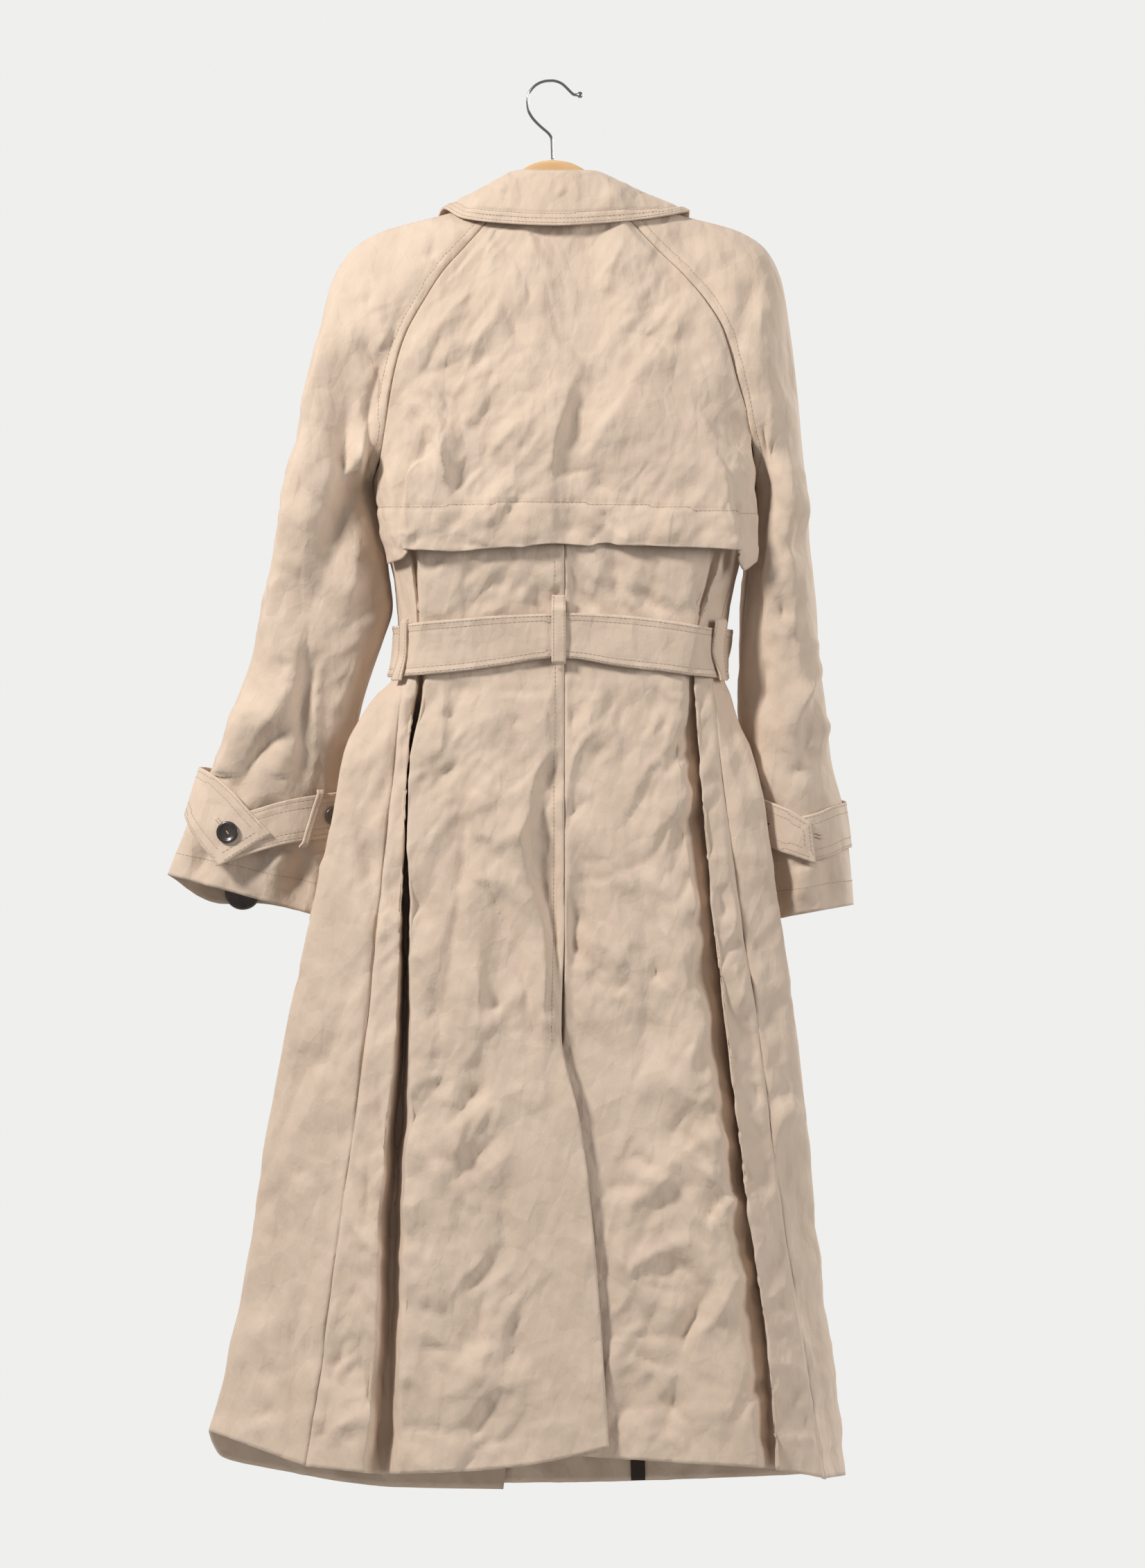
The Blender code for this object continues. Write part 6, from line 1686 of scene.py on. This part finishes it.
# --- the tape inside the right front ------------------------------------------------------------
n_plan = normals(plan, FRONT)
tape = between(plan[18:], np.array([3.78, 3.82, 3.86]))
tape_n = between(n_plan[18:], np.array([3.78, 3.82, 3.86]))
g = fine(tape - tape_n * (CLOTH + 1.0), FINE)
cloth("seam_tape_right", g, normals(g, FRONT), 0.0, thick=0.8, material=TAPE)

# --- hanger ----------------------------------------------------------------------------------------
HOOK_PATH = (
    # x, drop, radius
    (0.1, 69.2, 1.3), (-0.2, 60, 1.3), (-0.6, 51, 1.3), (-2.4, 47.2, 1.3), (-4.7, 44.7, 1.3), (-10.0, 40.2, 1.3), (-15.4, 34.9, 1.3), (-19.2, 30, 1.3),
    (-21.4, 25, 1.3), (-22.3, 17, 1.3), (-21.2, 10.5, 1.3), (-18.0, 5.6, 1.3), (-14.2, 2.2, 1.3), (-10.0, 0.1, 1.3), (-5.0, -1.1, 1.3), (0.0, -1.3, 1.3), (4.0, -0.6, 1.3),
    (8.0, 1.1, 1.3), (11.2, 3.6, 1.3), (14.0, 6.4, 1.3), (17.0, 9.4, 1.3), (19.4, 11.2, 1.3), (22.0, 11.4, 1.5), (23.2, 11.4, 2.6), (24.7, 11.4, 3.0), (26.2, 11.4, 2.6), (27.4, 11.4, 1.0),
)
path = along_rows(np.array(HOOK_PATH, float)[:, None, :], np.linspace(0, len(HOOK_PATH) - 1, 180))[:, 0]
points, faces = [], []
for i in range(len(path)):
    p = np.array([path[i, 0], 0, path[i, 1]])
    t = path[min(i + 1, len(path) - 1)] - path[max(i - 1, 0)]
    a = np.array([t[1], 0, -t[0]]) / max(np.hypot(t[0], t[1]), 1e-9)
    for s in range(24):
        w = 2 * math.pi * s / 24
        points.append(p + (a * math.cos(w) + np.array([0, 1.0, 0]) * math.sin(w)) * path[i, 2])
for i in range(len(path) - 1):
    for s in range(24):
        q = (s + 1) % 24
        faces.append((i * 24 + s, i * 24 + q, (i + 1) * 24 + q, (i + 1) * 24 + s))
faces.append(tuple(range(23, -1, -1)))
faces.append(tuple((len(path) - 1) * 24 + s for s in range(24)))
fix_winding(points, faces)
put("hanger_hook", np.array(points), faces, CHROME, ["hanger_hook"])

ARMS = (
    # distance from the middle, top drop, height, half thickness
    (0, 69.6, 40, 6.6), (12, 71.2, 40, 6.6), (22, 75.2, 39, 6.6), (30, 81.0, 37, 6.5), (38, 92.5, 30, 6.3), (46, 106.5, 23, 6.2), (58, 114.0, 20, 6.0),
    (80, 120.0, 19, 6.0), (110, 127.8, 18, 6.0), (140, 137.5, 17, 6.2), (166, 150.0, 16, 6.6), (180, 160.0, 13, 6.0),
)
arms = [(-m, t, h_, w) for m, t, h_, w in ARMS[::-1]] + [(m * 1.06, t, h_, w) for m, t, h_, w in ARMS[1:]]
arms = np.array(arms, float)
sections = curve(np.concatenate([np.arange(len(arms))[:, None], arms], axis=1), np.linspace(0, len(arms) - 1, 200))
points, faces = [], []
ROUND_SIDES = 28
for sx, top, tall, half in sections:
    for s in range(ROUND_SIDES):
        a = 2 * math.pi * s / ROUND_SIDES
        ca, sa = math.cos(a), math.sin(a)
        power = 0.42
        points.append((sx, math.copysign(abs(ca) ** power, ca) * half, top + tall / 2 - math.copysign(abs(sa) ** power, sa) * tall / 2))
for i in range(len(sections) - 1):
    for s in range(ROUND_SIDES):
        q = (s + 1) % ROUND_SIDES
        faces.append((i * ROUND_SIDES + s, i * ROUND_SIDES + q, (i + 1) * ROUND_SIDES + q, (i + 1) * ROUND_SIDES + s))
faces.append(tuple(range(ROUND_SIDES - 1, -1, -1)))
faces.append(tuple((len(sections) - 1) * ROUND_SIDES + s for s in range(ROUND_SIDES)))
fix_winding(points, faces)
put("hanger_wood", np.array(points), faces, WOOD, ["hanger_wood"])

# --- stitching and the buttons' thread, darkened as painted shade, and dark discs of painted shade in the holes ---
for a, b, way in STITCH_LINES:
    line = np.linspace(a, b, 4)
    dashes(line, np.repeat(way[None], 4, axis=0), length=np.linalg.norm(b - a) * 0.86, gap=5, width=1.1, proud=0.35)
boxes = np.concatenate(STITCHES)
k = np.arange(len(boxes))[:, None] * 8
CUBE = np.array([(0, 3, 2, 1), (4, 5, 6, 7), (0, 1, 5, 4), (1, 2, 6, 5), (2, 3, 7, 6), (3, 0, 4, 7)])
faces = (k[:, :, None] + CUBE[None]).reshape(-1, 4)
put("stitching", boxes.reshape(-1, 3), faces, SHADED_THREAD, smooth=False)
points = np.concatenate(HOLE_SHADE_DISCS)
faces = np.arange(len(points)).reshape(-1, 12)
put("button_hole_shade", points, faces, TAPE, smooth=False)

# ---------------------------------------------------------------------------
# Floor, light and camera
# ---------------------------------------------------------------------------
mesh = bpy.data.meshes.new("floor")
ring = [(0.9 * math.cos(2 * math.pi * i / 96), 0.9 * math.sin(2 * math.pi * i / 96), -1.60) for i in range(96)]
mesh.from_pydata(ring, [], [tuple(range(96))])
floor = bpy.data.objects.new("floor", mesh)
floor_material, _, _, _ = new_material("floor", (0.60, 0.60, 0.59), 0.9)
mesh.materials.append(floor_material)
bpy.context.scene.collection.objects.link(floor)
floor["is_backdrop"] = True

world = bpy.data.worlds.new("studio")
bpy.context.scene.world = world
world.use_nodes = True
nodes, links = world.node_tree.nodes, world.node_tree.links
# a pale room: lighter behind the coat, dimmer on the side that its back faces
where = nodes.new("ShaderNodeTexCoord")
split = nodes.new("ShaderNodeSeparateXYZ")
ramp = nodes.new("ShaderNodeValToRGB")
links.new(where.outputs["Generated"], split.inputs["Vector"])
links.new(split.outputs["Y"], ramp.inputs["Fac"])
ramp.color_ramp.interpolation = "EASE"
ramp.color_ramp.elements[0].position, ramp.color_ramp.elements[1].position = 0.15, 0.85
ramp.color_ramp.elements[0].color = (0.25, 0.252, 0.256, 1)
ramp.color_ramp.elements[1].color = (0.865, 0.862, 0.85, 1)
links.new(ramp.outputs["Color"], nodes["Background"].inputs["Color"])
nodes["Background"].inputs["Strength"].default_value = 1.0


def area_light(name, place, target, size, power, colour=(1, 1, 1)):
    data = bpy.data.lights.new(name, "AREA")
    data.shape, data.size, data.size_y = "RECTANGLE", size[0], size[1]
    data.energy, data.color = power, colour
    obj = bpy.data.objects.new(name, data)
    obj.location = place
    obj.rotation_euler = (Vector(target) - Vector(place)).to_track_quat("-Z", "Y").to_euler()
    bpy.context.scene.collection.objects.link(obj)
    return obj


area_light("key", (-2.1, -1.45, 1.25), (0, 0, -0.65), (0.5, 0.6), 105, (1.0, 0.985, 0.96))
area_light("fill", (2.7, -1.7, 0.2), (0, 0, -0.7), (1.2, 1.5), 50)
area_light("rim", (2.4, 2.4, 0.6), (0, 0, -0.6), (1.4, 1.8), 45, (1.0, 0.985, 0.96))

camera = bpy.data.cameras.new("camera")
camera.sensor_fit = "AUTO"
camera.sensor_width = 36
camera.lens = 36 * 3.2 / 1.40306
eye = bpy.data.objects.new("camera", camera)
eye.location = (MIDDLE_X / 1000, -3.2, -MIDDLE_D / 1000)
eye.rotation_euler = (math.pi / 2, 0, 0)
bpy.context.scene.collection.objects.link(eye)
bpy.context.scene.camera = eye
bpy.context.scene.view_settings.view_transform = "Standard"

for name, width, length, area in CUTS:
    print("%-20s %.0f x %.0f mm, %.4f m2" % (name, width * 1000, length * 1000, area))
low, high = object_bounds()
